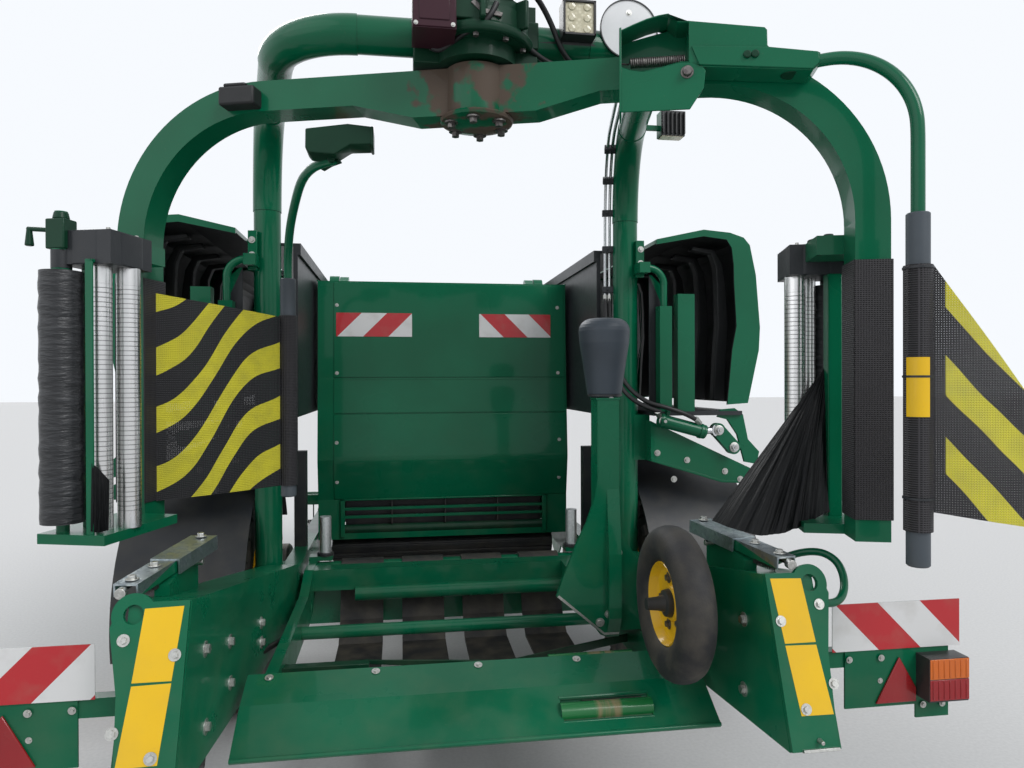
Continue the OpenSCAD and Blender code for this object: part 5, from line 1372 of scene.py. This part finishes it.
for word, side in SIDES:
    eyes = bmesh.new()
    for x, y, z in ((0.822, -2.940, 1.169), (0.873, -3.210, 1.147), (0.893, -3.320, 1.140)):
        x = cutter_x(side, x)
        add_rod(eyes, (x, y, z), (x, y, z + 0.012), 0.011, sides=6)
        add_rod(eyes, (x, y, z), (x, y, z + 0.003), 0.017, sides=20)
    add_rod(eyes, (cutter_x(side, 0.905), -3.351, 1.118), (cutter_x(side, 0.905), -3.372, 1.117), 0.014)
    add_rod(eyes, (cutter_x(side, 0.848), -3.000, 1.105), (cutter_x(side, 0.800), -3.000, 1.105), 0.010)
    finish_piece(f"cutter_bolts_{word}", eyes, "root", bolt_steel, bevel=0.001)
    blade = bmesh.new()
    for step in range(TEETH):
        x, y = cutter_x(side, 0.864 + step * 0.0015), -3.160 - step * TOOTH
        add_plate(blade, [(x, y, 1.094), (x, y - TOOTH, 1.094), (x, y - TOOTH / 2, 1.080)], (0.003, 0, 0))
    finish_piece(f"cutter_teeth_{word}", blade, "root", dull_steel)
    if side > 0:
        pipe("guard_bow_right", [GUARD_BOW], 0.012, "root", green_enamel)
    spots = [(side * x, y, z) for x, y, z in INNER_BOLTS]
    bolts(f"beam_inner_bolts_{word}", spots, (-side, 0, 0), "root", radius=0.013, height=0.014)
    spots = [(side * x, y, z) for x, y, z in OUTER_BOLTS]
    bolts(f"beam_outer_bolts_{word}", spots, (side, 0, 0), "root", radius=0.012, height=0.014)
    assemble(f"beam_nipple_{word}", "root", bolt_steel, [
        (add_rod, (0.0, -0.014, -0.438), (0.0, -0.034, -0.444), 0.007, 0.005),
        (add_block, (-0.052, -0.024, -0.466), (0.052, -0.012, -0.458)),
    ], bevel=0.001, place=beam_face @ Matrix.Translation((side * 0.862, 0, 0)))
    spots = [(side * x, -3.3062, z) for x, z in ((1.085, 0.806), (1.190, 0.806), (1.330, 0.655), (1.395, 0.655))]
    bolts(f"board_bolts_{word}", spots, REARWARD, "root", radius=0.006, height=0.006)
print("fittings of the side beams ready")

# %% Line along the left beam
pipe("beam_line_left", [
    [(-0.690, -1.980, 0.640), (-0.676, -2.200, 0.640), (-0.700, -2.400, 0.652), (-0.748, -2.550, 0.664),
     (-0.790, -2.820, 0.700), (-0.806, -3.050, 0.702), (-0.800, -3.160, 0.660), (-0.790, -3.240, 0.600)],
], 0.011, "root", hose_rubber)

# %% Screws, rollers and link bars of the rear plate
spots = [(x, -2.945, 0.7185) for x in (-0.66, -0.33, 0.0, 0.33, 0.66)]
bolts("rear_plate_bolts", spots, (0, -0.35, 0.94), "table", radius=0.008, height=0.006)
assemble("rear_plate_edges", "table", green_enamel, [
    (add_rod, (left, y, z), (right, y, z), radius, None, sides) for left, right, y, z, radius, sides in (
        (-0.727, 0.727, -3.1935, 0.5870, 0.0065, 12), (0.238, 0.526, -3.154, 0.6065, 0.006, 10),
        (0.238, 0.526, -3.086, 0.6535, 0.006, 10))])
assemble("rear_plate_roller", "table", worn_band("plate_roller", 0.430, 0.050), [
    (add_rod, (0.246, -2.880, 0.690), (0.544, -2.880, 0.690), 0.024)], bevel=0.002)
assemble("table_link_bars", "table", shade_darkened_green, [
    (add_block, (-0.690, -2.760, 0.655), (-0.360, -2.690, 0.663)),
    (add_block, (-0.690, -2.766, 0.640), (-0.360, -2.758, 0.676)),
    (add_plate, [(0.120, -2.800, 0.672), (0.690, -2.470, 0.628), (0.690, -2.470, 0.596), (0.120, -2.800, 0.640)],
     (0, 0.008, 0)),
    (add_plate, [(0.120, -2.800, 0.672), (-0.360, -2.700, 0.663), (-0.360, -2.700, 0.648), (0.120, -2.800, 0.640)],
     (0, 0.008, 0)),
], bevel=0.002)

# %% Details of the tipper's post and wheel
spots = [(0.525, -2.660, 0.769), (0.490, -2.660, 0.740), (0.560, -2.660, 1.000)]
bolts("tipper_bolts", spots, REARWARD, "table", radius=0.010, height=0.009)
EDGES = (((0.504, 0.692), (0.564, 0.692), (0.564, 0.700), (0.508, 0.700)),
         ((0.3265, 0.842), (0.503, 0.694), (0.509, 0.699), (0.333, 0.849)))
assemble("tipper_plate_edge", "table", bolt_steel, [
    (add_plate, at_y(-2.6612, edge), (0, 0.002, 0)) for edge in EDGES])
assemble("tipper_cap", "table", green_enamel, [
    (add_block, (0.478, -2.6625, 1.576), (0.570, -2.5655, 1.584))], bevel=0.002)
bolts("tipper_wheel_bolts", circle((0.5785, -3.170, 0.962), 0.076, 5, plane="yz"), (-1, 0, 0), "tipper_wheel",
      radius=0.010, height=0.012, material=dull_steel)
WHEEL = (0.584, -3.170, 0.962)
HALF_TYRE = [(0.034, 0.126), (0.043, 0.136), (0.053, 0.160), (0.056, 0.184), (0.051, 0.207), (0.040, 0.223),
             (0.024, 0.232), (0.008, 0.2355)]
HALF_DISH = [(0.034, 0.128), (0.038, 0.124), (0.030, 0.119), (0.012, 0.112), (0.006, 0.100), (0.005, 0.058),
             (0.014, 0.052), (0.014, 0.0)]
HUB = [(-0.088, 0.0), (-0.088, 0.018), (-0.052, 0.021), (-0.034, 0.026), (-0.030, 0.040), (-0.013, 0.044),
       (0.020, 0.036), (0.020, 0.0)]
tyre = HALF_TYRE + [(-along, around) for along, around in reversed(HALF_TYRE)] + [HALF_TYRE[0]]
dish = HALF_DISH[::-1] + [(-along, around) for along, around in HALF_DISH]
piece = assemble("tipper_tyre", "tipper_wheel", tyre_rubber, [(add_turned, tyre, WHEEL, ACROSS, 64)], smooth=60)
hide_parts("tipper_wheel")
assemble("tipper_rim", "tipper_wheel", yellow_enamel, [(add_turned, dish, WHEEL, ACROSS, 48)], smooth=40)
assemble("tipper_hub", "tipper_wheel", black_steel, [(add_turned, HUB, WHEEL, ACROSS, 32)])
assemble("cone_ring", "tipper_roller", black_steel, [
    (add_turned, [(1.5895, 0.060), (1.5905, 0.068), (1.5965, 0.068), (1.5975, 0.060), (1.5895, 0.060)],
     (0.526, -2.600, 0), UP, 40)])

# %% [markdown]
# ## Guides beside the tailgate
# Two short bright posts stop the bale beside the tailgate. Each carries a rubber ring at its foot.

# %% Rings at the feet of the guides
assemble("guide_rings", "table", black_plastic, [
    (add_turned, [(0.800, 0.029), (0.800, 0.040), (0.812, 0.040), (0.816, 0.036), (0.816, 0.029), (0.800, 0.029)],
     (side * 0.615, -1.656, 0), UP, 32) for side in (-1, 1)])

# %% [markdown]
# ## Blank yellow plate on the right tube
# A yellow plate is wrapped round the right safety tube, facing the person behind the machine. It is left blank.

# %% Wrap the plate round the tube
PLATE_LOW, PLATE_HIGH, PLATE_R, PLATE_THICK = 1.551, 1.709, 0.0375, 0.0012
PLATE_FROM, PLATE_ROUND = math.radians(-111) - 0.82, 1.64
wrap = bmesh.new()
edge = Vector((math.cos(PLATE_FROM), math.sin(PLATE_FROM), 0))
strip = [wrap.verts.new(Vector(TUBES["right"]) + edge * radius + Vector((0, 0, z)))
         for radius, z in ((PLATE_R, PLATE_LOW), (PLATE_R, PLATE_HIGH), (PLATE_R - PLATE_THICK, PLATE_HIGH),
                           (PLATE_R - PLATE_THICK, PLATE_LOW))]
bmesh.ops.spin(wrap, geom=[wrap.faces.new(strip)], cent=TUBES["right"], axis=UP, angle=PLATE_ROUND, steps=14,
               use_merge=False)
finish_piece("yellow_plate_tube", wrap, "rotor", yellow_sheet, place=ROTOR, smooth=50)
assemble("net_ties_right", "rotor", black_plastic, [
    (add_turned, ring(z, z + 0.006, 0.0362, 0.0385), TUBES["right"], UP, 28) for z in (1.330, 1.655, 1.945)
], place=ROTOR)

# %% [markdown]
# ## Last small pieces
# A small sensor box sits on the left arm, and a ribbed steel roller closes the chamber's bottom behind the rails.

# %% Sensor box and bottom roller
SENSOR_TURN = Matrix.Translation((-0.770, -2.800, 2.592)) @ Matrix.Rotation(math.radians(-17), 4, "Z")
assemble("sensor_box", "rotor", liner_plastic, [
    (add_block, (-0.062, -0.030, -0.036), (0.062, 0.034, 0.026), SENSOR_TURN),
    (add_block, (-0.050, -0.022, 0.024), (0.030, 0.030, 0.040), SENSOR_TURN),
], bevel=0.008)
BOTTOM, BARS = (0, -0.980, 0.688), 10
turns = [Matrix.Translation(BOTTOM) @ Matrix.Rotation(number * 2 * math.pi / BARS, 4, "X") for number in range(BARS)]
assemble("bottom_roller", "root", black_steel, [
    (add_turned, [(-0.640, 0.0), (-0.640, 0.078), (0.640, 0.078), (0.640, 0.0)], BOTTOM, ACROSS, 48),
    *((add_block, (-0.635, -0.006, 0.074), (0.635, 0.006, 0.089), turn) for turn in turns),
], bevel=0.002)

# %% [markdown]
# ## Studio
# A pale floor and soft, even light show the finish without hard shadows. The world is white for the camera
# and for reflections, and dimmer where it lights the machine, so colours keep the values they were given.

# %% Floor, world and lights
floor_mesh = bmesh.new()
bmesh.ops.create_grid(floor_mesh, x_segments=1, y_segments=1, size=60.0)
floor_data = bpy.data.meshes.new("floor")
floor_mesh.to_mesh(floor_data)
floor_mesh.free()
floor = bpy.data.objects.new("floor", floor_data)
bpy.context.scene.collection.objects.link(floor)
pale = Finish("pale_floor", Roughness=0.85, Specular_IOR_Level=0.1)
speck = pale.noise(60.0, 4.0)
pale.feed("Base Color", pale.mix(speck.ramp(0.3, 0.7), colour(0.60, 0.60, 0.60), colour(0.66, 0.66, 0.66)))
floor_data.materials.append(pale.material)
floor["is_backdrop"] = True

world = bpy.data.worlds.new("studio")
bpy.context.scene.world = world
world.use_nodes = True
links, air = world.node_tree.links, world.node_tree.nodes
WORLD_LIGHT, WORLD_SEEN = 0.55, 1.0


def either(first, second):
    """The larger of two outputs, through a Math node."""
    larger = air.new("ShaderNodeMath")
    larger.operation = "MAXIMUM"
    links.new(first, larger.inputs[0])
    links.new(second, larger.inputs[1])
    return larger.outputs[0]


path = air.new("ShaderNodeLightPath").outputs
seen = either(either(path["Is Camera Ray"], path["Is Glossy Ray"]), path["Is Transmission Ray"])
strength = air.new("ShaderNodeMapRange")
links.new(seen, strength.inputs[0])
strength.inputs["To Min"].default_value = WORLD_LIGHT
strength.inputs["To Max"].default_value = WORLD_SEEN
sky = air["Background"]
sky.inputs["Color"].default_value = colour(0.93, 0.96, 1.0)
links.new(strength.outputs[0], sky.inputs["Strength"])


def soft_sun(name, towards, strength, spread):
    """A broad, soft light that shines along a direction."""
    data = bpy.data.lights.new(name, "SUN")
    data.energy = strength
    data.angle = math.radians(spread)
    lamp = bpy.data.objects.new(name, data)
    bpy.context.scene.collection.objects.link(lamp)
    lamp.rotation_euler = Vector(towards).to_track_quat("-Z", "Y").to_euler()
    lamp.location = Vector(towards) * -8


soft_sun("key", (-0.55, 0.75, -0.75), 1.7, 30)
soft_sun("fill", (0.8, 0.5, -0.5), 0.5, 60)
soft_sun("rim", (0.35, -0.8, -0.6), 0.9, 25)
bpy.context.scene.view_settings.view_transform = "Standard"

# %% [markdown]
# ## The growth of the sizes
# How far the dressed machine reaches past the box of the fixed parts is printed, in millimetres.

# %% Print the growth and finish
visual_low, visual_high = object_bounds()
grown = [round(max(a, b) * 1000, 1) for a, b in zip(cad_low - visual_low, visual_high - cad_high)]
print("new pieces:", len(made_pieces), "growth in mm:", grown)
